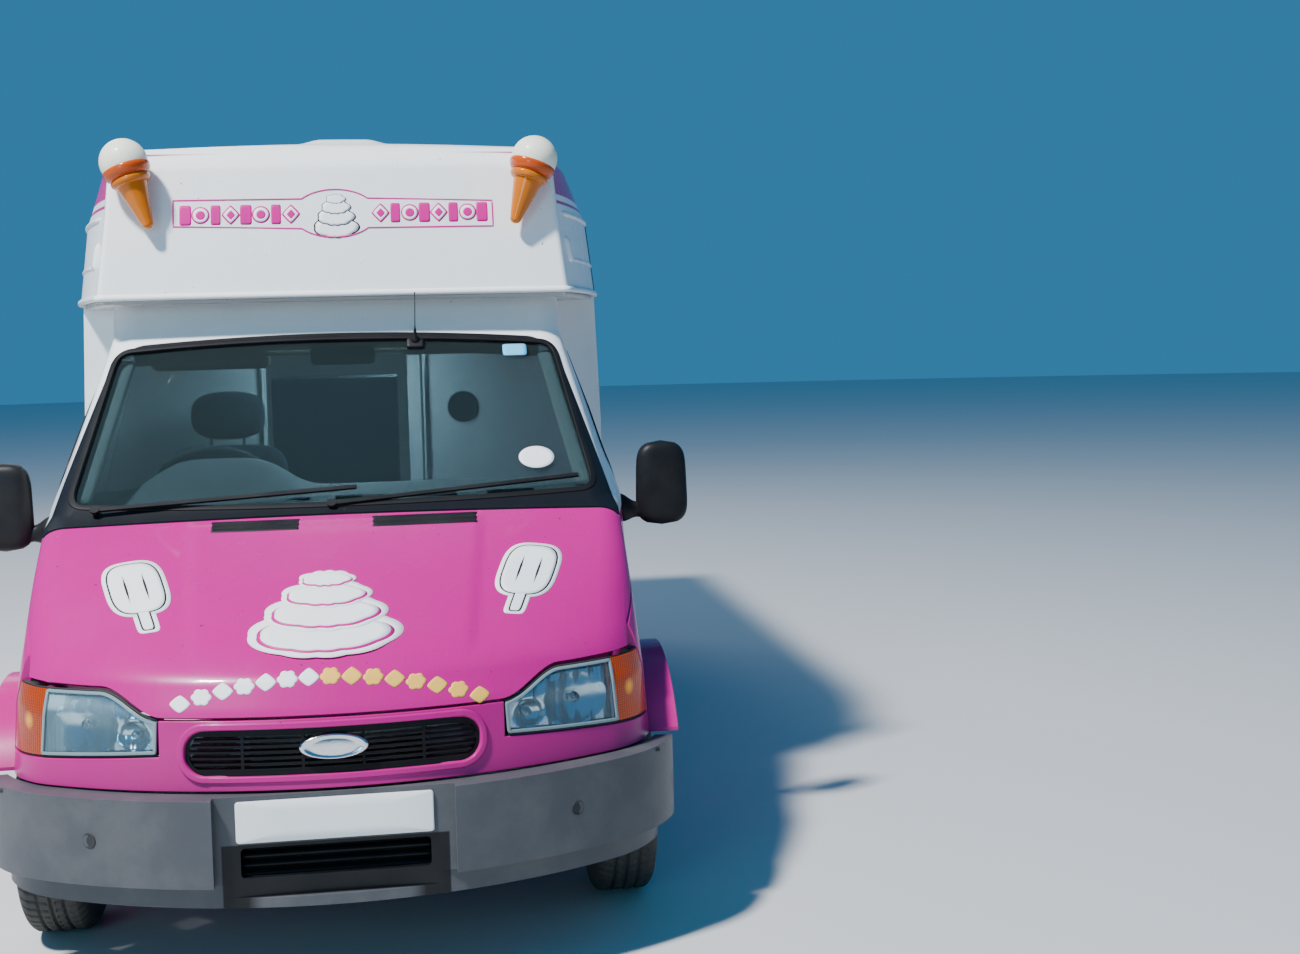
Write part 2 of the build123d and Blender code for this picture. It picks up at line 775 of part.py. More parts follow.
# Road wheels: pressed steel rims and tyres
for name, y in (("front", FRONT_AXLE), ("rear", REAR_AXLE)):
    for hand, side in SIDES:
        wheel = Plane(
            origin=(side * TRACK_HALF, FRONT + y, TYRE_R), x_dir=(0, 0, 1), z_dir=(0, side, 0)
        )
        axle = Axis((side * TRACK_HALF, FRONT + y, TYRE_R), (1, 0, 0))
        with BuildPart() as tyre:
            with BuildSketch(wheel):
                with BuildLine():
                    Polyline(
                        (RIM_R, -84), (RIM_R + 12, -92), (RIM_R + 60, -TYRE_W / 2), (TYRE_R - 30, -92),
                        (TYRE_R, -68), (TYRE_R, 68), (TYRE_R - 30, 92), (RIM_R + 60, TYRE_W / 2),
                        (RIM_R + 12, 92), (RIM_R, 84), close=True
                    )
                make_face()
            revolve(axis=axle)
        tyre.part.label = f"tyre_{name}_{hand}"
        export_step(tyre.part, f"parts/tyre_{name}_{hand}.step")
        with BuildPart() as rim:
            with BuildSketch(wheel):
                with BuildLine():
                    Polyline(
                        (RIM_R, -84), (RIM_R, 84), (RIM_R - 12, 84), (RIM_R - 26, 60), (150, 48),
                        (120, 62), (90, 58), (78, 66), (0, 70), (0, 61), (SPINDLE_R + FIT, 61),
                        (SPINDLE_R + FIT, 5), (60, 5), (66, 40), (120, 44), (150, 30), (RIM_R - 34, 20),
                        (RIM_R - 20, -60), (RIM_R - 12, -84), close=True
                    )
                make_face()
            revolve(axis=axle)
            face = Plane(
                origin=(side * TRACK_HALF, FRONT + y, TYRE_R), x_dir=(0, 1, 0), z_dir=(side, 0, 0)
            )
            with BuildSketch(face):
                with PolarLocations(120, 10):
                    Circle(13)
            extrude(amount=90, mode=Mode.SUBTRACT)
        rim.part.label = f"rim_{name}_{hand}"
        export_step(rim.part, f"parts/rim_{name}_{hand}.step")


def body_half(inset: float) -> list[tuple[float, float]]:
    """Outer line of the body side in front view, from the skirt to the cant rail."""
    return [(980 - inset, BODY_LOW), (988 - inset, 900), (990 - inset, 1440), (975 - inset, ROOF_LOW)]


# Body floor
with BuildPart() as body_floor:
    with BuildSketch(level(FLOOR_Z)):
        with Locations((0, FRONT + (BODY_START + BODY_END) / 2)):
            Rectangle(1896, BODY_END - BODY_START)
        for side in (1, -1):
            with Locations((side * 880, FRONT + REAR_AXLE)):
                Rectangle(290, 860, mode=Mode.SUBTRACT)
    extrude(amount=FLOOR_T)
    for side in (1, -1):
        with BuildSketch(along(side * 836.5 - 111.5)):
            with Locations((FRONT + REAR_AXLE, TYRE_R)):
                Circle(430)
                Circle(404, mode=Mode.SUBTRACT)
            with Locations((FRONT + REAR_AXLE, FLOOR_Z - 400)):
                Rectangle(1000, 800, mode=Mode.SUBTRACT)
        extrude(amount=223)
        with BuildSketch(along(side * 730 - 5)):
            with Locations((FRONT + REAR_AXLE, TYRE_R)):
                Circle(430)
            with Locations((FRONT + REAR_AXLE, FLOOR_Z - 400)):
                Rectangle(1000, 800, mode=Mode.SUBTRACT)
        extrude(amount=10)
body_floor.part.label = "body_floor"
export_step(body_floor.part, "parts/body_floor.step")

# Body sides with rear wheel arches, the left one with the serving window
WINDOW_Y = (2950, 4250)
WINDOW_Z = (1240, 1840)
with BuildPart() as body_side_right:
    with BuildSketch(across(BODY_START)):
        with BuildLine():
            Polyline(*[(-x, z) for x, z in body_half(0)], *[(-x, z) for x, z in reversed(body_half(BODY_WALL))], close=True)
        make_face()
    extrude(amount=-(BODY_END - BODY_START))
    with BuildSketch(along(-1100)):
        with Locations((FRONT + REAR_AXLE, TYRE_R)):
            Circle(404)
    extrude(amount=400, mode=Mode.SUBTRACT)
body_side_right.part.label = "body_side_right"
export_step(body_side_right.part, "parts/body_side_right.step")

with BuildPart() as body_side_left:
    mirror(body_side_right.part, about=Plane.YZ)
    with BuildSketch(along(800)):
        with Locations((FRONT + sum(WINDOW_Y) / 2, sum(WINDOW_Z) / 2)):
            RectangleRounded(WINDOW_Y[1] - WINDOW_Y[0], WINDOW_Z[1] - WINDOW_Z[0], 60)
    extrude(amount=400, mode=Mode.SUBTRACT)
body_side_left.part.label = "body_side_left"
export_step(body_side_left.part, "parts/body_side_left.step")

# Serving window glass
with BuildPart() as serving_window:
    with BuildSketch(along(962)):
        with Locations((FRONT + sum(WINDOW_Y) / 2, sum(WINDOW_Z) / 2)):
            RectangleRounded(WINDOW_Y[1] - WINDOW_Y[0], WINDOW_Z[1] - WINDOW_Z[0], 60)
    extrude(amount=8)
serving_window.part.label = "serving_window"
export_step(serving_window.part, "parts/serving_window.step")

# Bulkhead behind the cab with its walk-through
with BuildPart() as body_bulkhead:
    with BuildSketch(across(CAB_REAR)):
        with BuildLine():
            Polyline(*body_half(0), *[(-x, z) for x, z in reversed(body_half(0))], close=True)
        make_face()
        with Locations((-10, (FLOOR_Z + FLOOR_T + 1880) / 2)):
            RectangleRounded(600, 1880 - FLOOR_Z - FLOOR_T, 60, mode=Mode.SUBTRACT)
        for side in (1, -1):
            with Locations((side * 400, (RAIL_LOW + FLOOR_Z) / 2 - 10)):
                Rectangle(64, FLOOR_Z - RAIL_LOW + 20, mode=Mode.SUBTRACT)
    extrude(amount=-BULKHEAD)
body_bulkhead.part.label = "body_bulkhead"
export_step(body_bulkhead.part, "parts/body_bulkhead.step")

# Rear panel
with BuildPart() as body_rear:
    with BuildSketch(across(BODY_END)):
        with BuildLine():
            Polyline(
                (981, 540), (988, 900), (990, 1440), (975, ROOF_LOW), (-975, ROOF_LOW), (-990, 1440),
                (-988, 900), (-981, 540), close=True
            )
        make_face()
    extrude(amount=-REAR_T)
body_rear.part.label = "body_rear"
export_step(body_rear.part, "parts/body_rear.step")

# Over-cab moulding and roof in one hollow shell
with BuildPart() as roof_moulding:
    add(ROOF_OUTER)
    for bead in BEADS:
        with BuildPart(mode=Mode.PRIVATE) as band:
            add(roof_form(-bead.out))
            with BuildSketch(level(bead.low)):
                with Locations((0, FRONT + (bead.front + 5600) / 2)):
                    Rectangle(2200, 5600 - bead.front)
            extrude(amount=bead.high - bead.low, mode=Mode.INTERSECT)
        add(band.part)
    with BuildSketch(level(2474)):
        with Locations((0, FRONT + (1720 + 5420) / 2)):
            RectangleRounded(620, 5420 - 1720, 60)
    with BuildSketch(level(2512)):
        with Locations((0, FRONT + (1790 + 5350) / 2)):
            RectangleRounded(400, 5350 - 1790, 60)
    loft()
    with BuildPart(mode=Mode.PRIVATE) as hollow:
        add(ROOF_INNER)
        split(bisect_by=Plane.XY.offset(ROOF_LOW + 30), keep=Keep.TOP)
    add(hollow.part, mode=Mode.SUBTRACT)
    with BuildSketch(level(ROOF_LOW - 5)):
        with Locations((0, FRONT + (BODY_START + BODY_END) / 2)):
            Rectangle(1900, BODY_END - BODY_START)
    extrude(amount=50, mode=Mode.SUBTRACT)
roof_moulding.part.label = "roof_moulding"
export_step(roof_moulding.part, "parts/roof_moulding.step")

# Ice cream cones on the upper corners
BALL = (701.0, 1483.0, 2398.0)
TIP = (627.0, 1460.0, 2187.0)
cone_axis = Vector(TIP[0] - BALL[0], TIP[1] - BALL[1], TIP[2] - BALL[2])
cone_length = cone_axis.length
cone_plane = Plane(origin=(BALL[0], FRONT + BALL[1], BALL[2]), x_dir=(0, -1, 0), z_dir=cone_axis)
with BuildPart() as cone_left:
    with Locations(cone_plane):
        Sphere(84)
    with BuildSketch(cone_plane.offset(28)):
        Circle(79)
    extrude(amount=26)
    with BuildSketch(cone_plane.offset(54)):
        Circle(64)
    extrude(amount=24)
    with BuildSketch(cone_plane.offset(78)):
        Circle(54)
    with BuildSketch(cone_plane.offset(cone_length)):
        Circle(18)
    loft()
    with Locations(cone_plane.offset(cone_length)):
        Sphere(18)
    with BuildSketch(across(1435)):
        with Locations((BALL[0] - 30, BALL[2] - 60)):
            Circle(16)
    extrude(amount=-200)
    add(ROOF_OUTER, mode=Mode.SUBTRACT)
cone_left.part.label = "cone_left"
export_step(cone_left.part, "parts/cone_left.step")

with BuildPart() as cone_right:
    mirror(cone_left.part, about=Plane.YZ)
cone_right.part.label = "cone_right"
export_step(cone_right.part, "parts/cone_right.step")

# Serving counter inside the left wall
with BuildPart() as serving_counter:
    with BuildSketch(across(2500)):
        with BuildLine():
            Polyline((560, 590), (560, 1120), (540, 1120), (540, 1150), (940, 1150), (940, 590), close=True)
        make_face()
    extrude(amount=-1350)
serving_counter.part.label = "serving_counter"
export_step(serving_counter.part, "parts/serving_counter.step")

# Soft ice cream machine behind the walk-through
with BuildPart() as ice_cream_machine:
    with BuildSketch(level(FLOOR_Z + FLOOR_T)):
        with Locations((-60, FRONT + 2700)):
            RectangleRounded(500, 640, 20)
    extrude(amount=1629 - FLOOR_Z - FLOOR_T)
ice_cream_machine.part.label = "ice_cream_machine"
export_step(ice_cream_machine.part, "parts/ice_cream_machine.step")

# Rear bumper step
with BuildPart() as rear_bumper:
    with BuildSketch(level(400)):
        with Locations((0, FRONT + 5540)):
            RectangleRounded(1880, 120, 30)
    extrude(amount=138)
    with BuildSketch(across(LENGTH)):
        with Locations((0, TOW_Z)):
            with GridLocations(TOW_SPACING, 1, 2, 1):
                Circle(TOW_HOLE_R)
    extrude(amount=60, mode=Mode.SUBTRACT)
rear_bumper.part.label = "rear_bumper"
export_step(rear_bumper.part, "parts/rear_bumper.step")

# Rear lamp clusters
for hand, side in SIDES:
    with BuildPart() as rear_lamp:
        with BuildSketch(across(BODY_END + REAR_T)):
            with Locations((side * 900, 950)):
                RectangleRounded(90, 320, 14)
        extrude(amount=-18)
    rear_lamp.part.label = f"rear_lamp_{hand}"
    export_step(rear_lamp.part, f"parts/rear_lamp_{hand}.step")
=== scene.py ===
"""Looks of an ice cream van: its panels, lamps, moulding, cones, cab and wheels.

Lengths in the tables below are millimetres, with y counted backwards from the front of the
bumper, and place() turns them into the frame's metres. The shaders work in those metres, with
y counted from the middle of the van.
"""

import json
import logging
import math
from dataclasses import dataclass
from enum import Enum
from functools import lru_cache
from typing import Callable, Iterable, Sequence

import bmesh
import bpy
import numpy as np
from mathutils import Matrix, Vector

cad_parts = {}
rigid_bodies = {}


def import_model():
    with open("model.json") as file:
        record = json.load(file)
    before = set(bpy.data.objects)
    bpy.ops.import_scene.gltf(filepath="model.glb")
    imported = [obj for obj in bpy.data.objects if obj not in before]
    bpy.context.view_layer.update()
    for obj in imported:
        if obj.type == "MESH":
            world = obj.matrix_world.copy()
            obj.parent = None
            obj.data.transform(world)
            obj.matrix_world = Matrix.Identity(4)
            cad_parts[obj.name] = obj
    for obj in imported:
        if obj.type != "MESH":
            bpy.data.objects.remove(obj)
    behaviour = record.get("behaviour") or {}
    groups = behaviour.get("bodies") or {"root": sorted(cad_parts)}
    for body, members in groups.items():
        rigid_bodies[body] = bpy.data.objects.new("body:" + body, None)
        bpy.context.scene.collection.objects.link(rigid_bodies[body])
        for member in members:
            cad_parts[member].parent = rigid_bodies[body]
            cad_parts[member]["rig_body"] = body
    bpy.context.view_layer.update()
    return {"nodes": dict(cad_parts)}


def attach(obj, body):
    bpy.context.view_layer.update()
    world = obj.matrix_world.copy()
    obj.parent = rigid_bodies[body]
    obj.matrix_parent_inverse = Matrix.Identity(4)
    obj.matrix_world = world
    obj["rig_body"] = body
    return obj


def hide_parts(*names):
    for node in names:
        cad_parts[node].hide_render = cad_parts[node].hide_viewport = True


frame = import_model()
LOG = logging.getLogger("van")
Array = np.ndarray
Test = Callable[[Array, Array, Array], Array]
Radius = Callable[[Array], Array]

# The bumper's front in the frame, and the y of the cab's rear and of the body's front.
FRONT = -2800.0
CAB_REAR = 2150.0
BODY_START = 2180.0


class Body(Enum):
    """The bodies that pieces name here. A door, wheel or copied panel gives its own instead."""

    VAN = "van"
    BONNET = "bonnet"


class Side(Enum):
    """The van's own left and right, as the sign of x."""

    LEFT = 1
    RIGHT = -1

    @property
    def word(self) -> str:
        """Returns the side's name in piece names."""
        return self.name.lower()


# ---------------------------------------------------------------- shader maths


def maths(operation: str, swapped: bool = False) -> Callable:
    """Returns a method of Value that adds one Math node, with its two inputs swapped if asked."""
    def method(self, other=0.0) -> "Value":
        """Returns the Math node's result."""
        return self.calc(operation, *((other, self) if swapped else (self, other)))
    return method


class Value:
    """One shader value. Arithmetic on it adds Math nodes."""

    def __init__(self, shader: "Shader", socket: bpy.types.NodeSocket) -> None:
        """Wraps a node's output socket."""
        self.shader, self.socket = shader, socket

    def calc(self, operation: str, first, second, clamp: bool = False) -> "Value":
        """Returns the value of one Math node."""
        inputs = {0: first, 1: second}
        node = self.shader.node("ShaderNodeMath", inputs, operation=operation, use_clamp=clamp)
        return Value(self.shader, node.outputs[0])

    __add__ = __radd__ = maths("ADD")
    __sub__ = maths("SUBTRACT")
    __rsub__ = maths("SUBTRACT", True)
    __mul__ = __rmul__ = maths("MULTIPLY")
    __pow__ = maths("POWER")
    __abs__ = maths("ABSOLUTE")
    most = maths("MAXIMUM")
    least = maths("MINIMUM")
    wave = maths("SINE")

    def rise(self, edge: float, width: float) -> "Value":
        """Returns 0 below edge and 1 above it, with a ramp as wide as width between."""
        return self.calc("MULTIPLY", self - (edge - width / 2), 1.0 / width, clamp=True)

    def band(self, low: float, high: float, width: float) -> "Value":
        """Returns 1 between low and high and 0 elsewhere."""
        return self.rise(low, width) * (1 - self.rise(high, width))


class Shader:
    """A material under construction, with one Principled shader."""

    def __init__(self, name: str) -> None:
        """Makes the material and its two fixed nodes."""
        self.material = bpy.data.materials.new(name)
        self.material.use_nodes = True
        self.tree = self.material.node_tree
        self.tree.nodes.clear()
        self.out = self.node("ShaderNodeOutputMaterial")
        self.bsdf = self.node("ShaderNodeBsdfPrincipled")
        self.plug(self.bsdf.outputs[0], self.out.inputs["Surface"])

    def plug(self, value, target: bpy.types.NodeSocket) -> None:
        """Links a value or socket to an input, or sets a number, vector or colour on it."""
        if isinstance(value, Value):
            value = value.socket
        if isinstance(value, bpy.types.NodeSocket):
            self.tree.links.new(value, target)
        else:
            target.default_value = (*value, 1.0) if target.type == "RGBA" else value

    def node(self, kind: str, values: dict | None = None, **settings) -> bpy.types.Node:
        """Adds one node.

        Args:
            kind: The node's type.
            values: Numbers, colours, values or sockets for its inputs.
            settings: Its properties, set first.

        Returns:
            The new node.
        """
        node = self.tree.nodes.new(kind)
        for key, setting in settings.items():
            setattr(node, key, setting)
        for key, value in (values or {}).items():
            self.plug(value, node.inputs[key])
        return node

    def place(self) -> tuple[Value, Value, Value]:
        """Returns the x, y and z of a point of the piece, in metres."""
        where = self.node("ShaderNodeTexCoord")
        split = self.node("ShaderNodeSeparateXYZ", {0: where.outputs["Object"]})
        return tuple(Value(self, split.outputs[i]) for i in range(3))

    def noise(
        self, scale: float, detail: float = 4.0, stretch: tuple = (1, 1, 1), rough: float = 0.55
    ) -> Value:
        """Returns a noise value about 0.5, with features 1/scale metres long."""
        where = self.node("ShaderNodeTexCoord").outputs["Object"]
        turn = self.node("ShaderNodeMapping", {"Vector": where, "Scale": stretch})
        values = {"Vector": turn.outputs[0], "Scale": scale, "Detail": detail, "Roughness": rough}
        return Value(self, self.node("ShaderNodeTexNoise", values).outputs["Fac"])

    def mix(self, first, second, factor) -> bpy.types.NodeSocket:
        """Returns a colour between two colours."""
        values = {0: factor, 6: first, 7: second}
        return self.node("ShaderNodeMix", values, data_type="RGBA").outputs[2]

    def feed(self, **inputs) -> None:
        """Sets or links the shader's inputs, named with _ for spaces."""
        for key, value in inputs.items():
            self.plug(value, self.bsdf.inputs[key.replace("_", " ")])

    def bump(self, height: Value, distance: float) -> None:
        """Raises the surface's shading by height times distance in metres."""
        values = {"Height": height, "Distance": distance, "Strength": 1.0}
        self.plug(self.node("ShaderNodeBump", values).outputs[0], self.bsdf.inputs["Normal"])


# ---------------------------------------------------------------- finishes

WHITE = (0.90, 0.90, 0.90)
PINK = (0.50, 0.0, 0.205)
BLACK = (0.006, 0.007, 0.010)
# The soffit is white; this grey is painted shade under the overhang.
SOFFIT_SHADE_GREY = (0.42, 0.42, 0.40)
DIRT = (0.16, 0.12, 0.085)
PALE_DUST = (0.30, 0.27, 0.23)
FLY_SPOT = (0.05, 0.045, 0.04)
RUST = (0.17, 0.065, 0.025)
# Near-black painted shade for the bumper's opening under the number plate.
RECESS_PAINTED_SHADE = (0.004, 0.005, 0.007)

# Places in metres: a painted edge's width, the line between pink and white, and the heights,
# ends and arch (y, z and radius) of the body.
EDGE = 0.002
WAIST = 1.19
FLOOR_TOP = 0.82
SILL = 0.435
BODY_FRONT = -0.625
BODY_BACK = 2.765
REAR_ARCH = (1.585, 0.327, 0.412)
LOW_DIRT = 0.62


@dataclass(frozen=True)
class Finish:
    """A surface finish, made once as a material.

    Args:
        name: The material's name.
        slot: The record's material slot that it stands for. It is not used.
    """

    name: str
    slot: str

    def material(self) -> bpy.types.Material:
        """Returns the material, and makes it the first time."""
        made = bpy.data.materials.get(self.name)
        if made is None:
            shader = Shader(self.name)
            self.dress(shader)
            made = shader.material
        return made

    def dress(self, shader: Shader) -> None:
        """Fills the shader."""
        raise NotImplementedError


class Livery(Enum):
    """Which parts of a panel are pink, white or black."""

    PINK = "pink all over"
    WAIST = "pink below the waist, white above"
    CAB = "white with a black screen surround"
    MOULDING = "white with a pink band round the top of the sides"
    # The soffit's greyed white is painted shade under the overhang.
    SOFFIT = "greyed white"


@dataclass(frozen=True)
class Paint(Finish):
    """Gloss paint with faint orange peel, sun fade, dust and road dirt low down, and a soffit greyed as
    painted shade.

    Args:
        livery: Where it is pink, white or black.
    """

    livery: Livery

    @staticmethod
    def surround(x: Value, z: Value) -> Value:
        """Returns 1 on the black surround of the screen and its cowl, and 0 off it.

        It lies within 90 mm of the screen, which has leaning sides and an arched head.
        """
        side = (abs(x) + (z - 1.2) * 0.262 - 0.803).most(0.0)
        head = (z + x * x * 0.061 - 1.711).most(0.0)
        inside = 1 - ((side * side + head * head) ** 0.5).rise(0.09, EDGE)
        return inside * z.rise(WAIST, 0.003)

    @staticmethod
    def skin(x: Value, y: Value, z: Value) -> Value:
        """Returns 1 on the outer skin of the doors and the body, and 0 on their insides.

        The skin starts at a half width that grows behind the doors. The lips of the rear wheel
        arch, the sill and the rear panel count as skin too.
        """
        out = (abs(x) - (y + 1.585).most(0.0).least(0.935) * 0.037).rise(0.926, 0.003)
        dy, dz = y - REAR_ARCH[0], z - REAR_ARCH[1]
        arch = 1 - ((dy * dy + dz * dz) ** 0.5).rise(REAR_ARCH[2], EDGE)
        lips = (1 - y.rise(BODY_FRONT, EDGE)).most(arch).most(1 - z.rise(SILL, EDGE))
        return out.most(y.rise(BODY_BACK, EDGE)).most((1 - z.rise(FLOOR_TOP, EDGE)) * lips)

    def colour(self, shader: Shader, x: Value, y: Value, z: Value):
        """Returns the clean paint's colour over the panel."""
        if self.livery is Livery.PINK:
            return PINK
        if self.livery is Livery.WAIST:
            return shader.mix(WHITE, PINK, self.skin(x, y, z) * (1 - z.rise(WAIST, EDGE)))
        if self.livery is Livery.CAB:
            upper = shader.mix(PINK, WHITE, z.rise(WAIST, EDGE))
            return shader.mix(upper, BLACK, self.surround(x, z))
        if self.livery is Livery.MOULDING:
            flank = (y - z * 0.257).rise(-1.822, 0.004)
            band = z.band(2.281, 2.438, 0.003).most(z.band(2.247, 2.259, EDGE))
            return shader.mix(WHITE, PINK, flank * band)
        # The soffit is greyed as painted shade under the overhang.
        return SOFFIT_SHADE_GREY

    def dress(self, shader: Shader) -> None:
        """Fills the shader with paint, dust and dirt."""
        x, y, z = shader.place()
        clean = self.colour(shader, x, y, z)
        fade = shader.noise(1.6, 3.0)
        dust = shader.noise(14.0, 6.0, (1.0, 1.0, 0.5), 0.65)
        streak = shader.noise(9.0, 5.0, (3.0, 3.0, 0.25))
        speck = shader.noise(260.0, 2.0).rise(0.74, 0.04)
        fly = shader.noise(70.0, 1.0).rise(0.80, 0.015)
        low = 1 - z.rise(LOW_DIRT, 0.55)
        film = ((dust - 0.50) * 0.25).most(0.0) + low * dust * 0.30 + streak.rise(0.68, 0.2) * 0.03
        gloss = 0.26 - film * 1.2
        rough = 0.26 + film * 0.55
        soil = (film + speck * 0.12).least(0.6)
        fading = (fade - 0.5).most(0.0) * 0.06
        if self.livery is Livery.CAB:
            black = self.surround(x, z)
            gloss = gloss * (1 - black * 0.9)
            rough = rough + black * 0.2
            soil = soil * (1 - black * 0.85)
            fading = fading * (1 - black)
        dirty = shader.mix(shader.mix(clean, WHITE, fading), DIRT, soil)
        shader.feed(
            Base_Color=shader.mix(dirty, FLY_SPOT, fly * 0.8), Roughness=rough,
            Coat_Weight=gloss.most(0.02), Coat_Roughness=0.05, IOR=1.26,
        )
        shader.bump(shader.noise(420.0, 2.0), 0.00012)


@dataclass(frozen=True)
class Plastic(Finish):
    """Moulded plastic or rubber with fine grain, scuffs and dust.

    Args:
        colour: Base colour.
        rough: Roughness where it is clean.
        grain: Height of the grain in metres.
        dust: How much dust lies on it, 0 to 1.
        coat: Weight of a clear coat.
        recess: The middle behind the number plate is painted near-black, as painted shade in the
            opening under the plate.
    """

    colour: tuple
    rough: float
    grain: float
    dust: float
    coat: float = 0.0
    recess: bool = False

    def dress(self, shader: Shader) -> None:
        """Fills the shader with plastic, grain and dust."""
        cloud = shader.noise(6.0, 6.0, (1, 1, 1), 0.6)
        fine = shader.noise(90.0, 3.0)
        film = (cloud - 0.45).most(0.0) * self.dust + fine.rise(0.62, 0.1) * 0.05 * self.dust
        lighter = tuple(min(1.0, c * 1.35 + 0.003) for c in self.colour)
        base = shader.mix(self.colour, lighter, cloud)
        if self.recess:
            # The middle under the plate is painted near-black as painted shade, with less dust on it.
            x, y, z = shader.place()
            deep = (1 - abs(x).rise(0.300, 0.004)) * y.rise(-2.778, 0.006) * (1 - z.rise(0.440, 0.004))
            base = shader.mix(base, RECESS_PAINTED_SHADE, deep)
            film = film * (1 - deep * 0.8)
        shader.feed(
            Base_Color=shader.mix(base, PALE_DUST, film * 1.3),
            Roughness=self.rough + film * 0.5 + (fine - 0.5) * 0.08,
            Specular_IOR_Level=0.18, Coat_Weight=self.coat, Coat_Roughness=0.05,
        )
        shader.bump(shader.noise(700.0, 2.0), self.grain)


@dataclass(frozen=True)
class Metal(Finish):
    """Steel or bright metal with a brushed or rough surface.

    Args:
        colour: Base colour.
        rough: Roughness.
        metallic: 1 for bare metal, less for paint over it.
        rust: How much rust shows, 0 to 1.
    """

    colour: tuple
    rough: float
    metallic: float
    rust: float = 0.0

    def dress(self, shader: Shader) -> None:
        """Fills the shader with metal, marks and rust."""
        cloud = shader.noise(12.0, 6.0, (1, 1, 1), 0.62)
        brush = shader.noise(60.0, 3.0, (1.0, 12.0, 12.0))
        eaten = cloud.rise(0.62 - 0.18 * self.rust, 0.16) * self.rust
        darker = tuple(c * 0.72 for c in self.colour)
        shader.feed(
            Base_Color=shader.mix(shader.mix(self.colour, darker, cloud), RUST, eaten),
            Metallic=self.metallic * (1 - eaten),
            Roughness=self.rough + eaten * 0.4 + (brush - 0.5) * 0.12,
        )
        shader.bump(brush + cloud * 0.5, 0.0002)


@dataclass(frozen=True)
class Glass(Finish):
    """Glass or clear lens: see-through face on, and more of a mirror at a low angle.

    Args:
        tint: Colour of what shows through it.
        body: How much of the surface colour shows, 0 to 1.
        colour: Surface colour.
        ribs: Spacing of moulded ribs along x in metres, or 0.
    """

    tint: tuple
    body: float
    colour: tuple = (0.02, 0.025, 0.025)
    ribs: float = 0.0

    def dress(self, shader: Shader) -> None:
        """Fills the shader: a mix of see-through and glossy by Fresnel."""
        grime = shader.noise(5.0, 6.0, (1, 1, 1), 0.6)
        shader.feed(Base_Color=self.colour, Roughness=0.02 + (grime - 0.4).most(0.0) * 0.05, IOR=1.5)
        if self.ribs:
            x, _, _ = shader.place()
            shader.bump((x * (2 * math.pi / self.ribs)).wave(), 0.0006)
        clear = shader.node("ShaderNodeBsdfTransparent", {"Color": self.tint}).outputs[0]
        shine = Value(shader, shader.node("ShaderNodeFresnel", {"IOR": 1.5}).outputs[0])
        share = (shine * 0.9 + self.body).least(1.0)
        mixed = shader.node("ShaderNodeMixShader", {0: share, 1: clear, 2: shader.bsdf.outputs[0]})
        shader.plug(mixed.outputs[0], shader.out.inputs["Surface"])


@dataclass(frozen=True)
class Lens(Finish):
    """A coloured lamp lens with moulded ribs.

    Args:
        colour: Lens colour.
        pitch: Rib spacing in metres.
        glow: Strength of a painted glow, emission that stands for light thrown back from inside the
            lens, for its depth.
        spot: The |x| and z of a painted highlight, a bright yellow spot for the reflector behind it, in
            metres, or nothing.
    """

    colour: tuple
    pitch: float
    glow: float
    spot: tuple = ()

    def dress(self, shader: Shader) -> None:
        """Fills the shader with the lens colour and ribs, with painted shade in the ribs' troughs, a
        painted hot spot and a painted glow.
        """
        x, _, z = shader.place()
        ribs = (x * (2 * math.pi / self.pitch)).wave() * 0.5 + 0.5
        # The ribs' troughs are painted darker, as painted shade in the grooves.
        base = shader.mix(self.colour, tuple(c * 0.6 for c in self.colour), ribs)
        # A painted highlight: a bright yellow spot over the reflector behind the lens.
        if self.spot:
            dx, dz = abs(x) - self.spot[0], z - self.spot[1]
            off = (dx * dx * 2.5 + dz * dz) ** 0.5
            base = shader.mix((0.70, 0.27, 0.0), base, off.rise(0.016, 0.022))
        # The emission is a painted glow, light thrown back from inside the lens, though the lamp is not
        # lit.
        shader.feed(
            Base_Color=base, Roughness=0.2, Coat_Weight=0.3, Coat_Roughness=0.04, IOR=1.3,
            Emission_Color=base, Emission_Strength=self.glow,
        )
        shader.bump(ribs + (z * (2 * math.pi / self.pitch)).wave() * 0.3, 0.0009)


@dataclass(frozen=True)
class Cloth(Finish):
    """Woven seat cloth with a weave and soft shade changes."""

    colour: tuple = (0.010, 0.015, 0.028)

    def dress(self, shader: Shader) -> None:
        """Fills the shader with warp and weft."""
        x, y, z = shader.place()
        weft = (z * 2600.0 + y * 1200.0).wave()
        warp = (x * 2600.0).wave()
        lighter = tuple(c * 2.2 + 0.004 for c in self.colour)
        shade = shader.noise(9.0, 5.0) * 0.5 + warp * weft * 0.25 + 0.2
        base = shader.mix(self.colour, lighter, shade)
        shader.feed(Base_Color=base, Roughness=0.92, Sheen_Weight=0.25)
        shader.bump(warp * weft, 0.0005)


@dataclass(frozen=True)
class Tread(Finish):
    """Tyre rubber, greyed by dust, with darker fresh patches."""

    def dress(self, shader: Shader) -> None:
        """Fills the shader with rubber."""
        cloud = shader.noise(16.0, 6.0, (1, 1, 1), 0.65)
        shader.feed(
            Base_Color=shader.mix((0.014, 0.014, 0.015), (0.075, 0.068, 0.060), cloud),
            Roughness=0.72 + (cloud - 0.5) * 0.2,
        )
        shader.bump(shader.noise(320.0, 3.0), 0.0004)


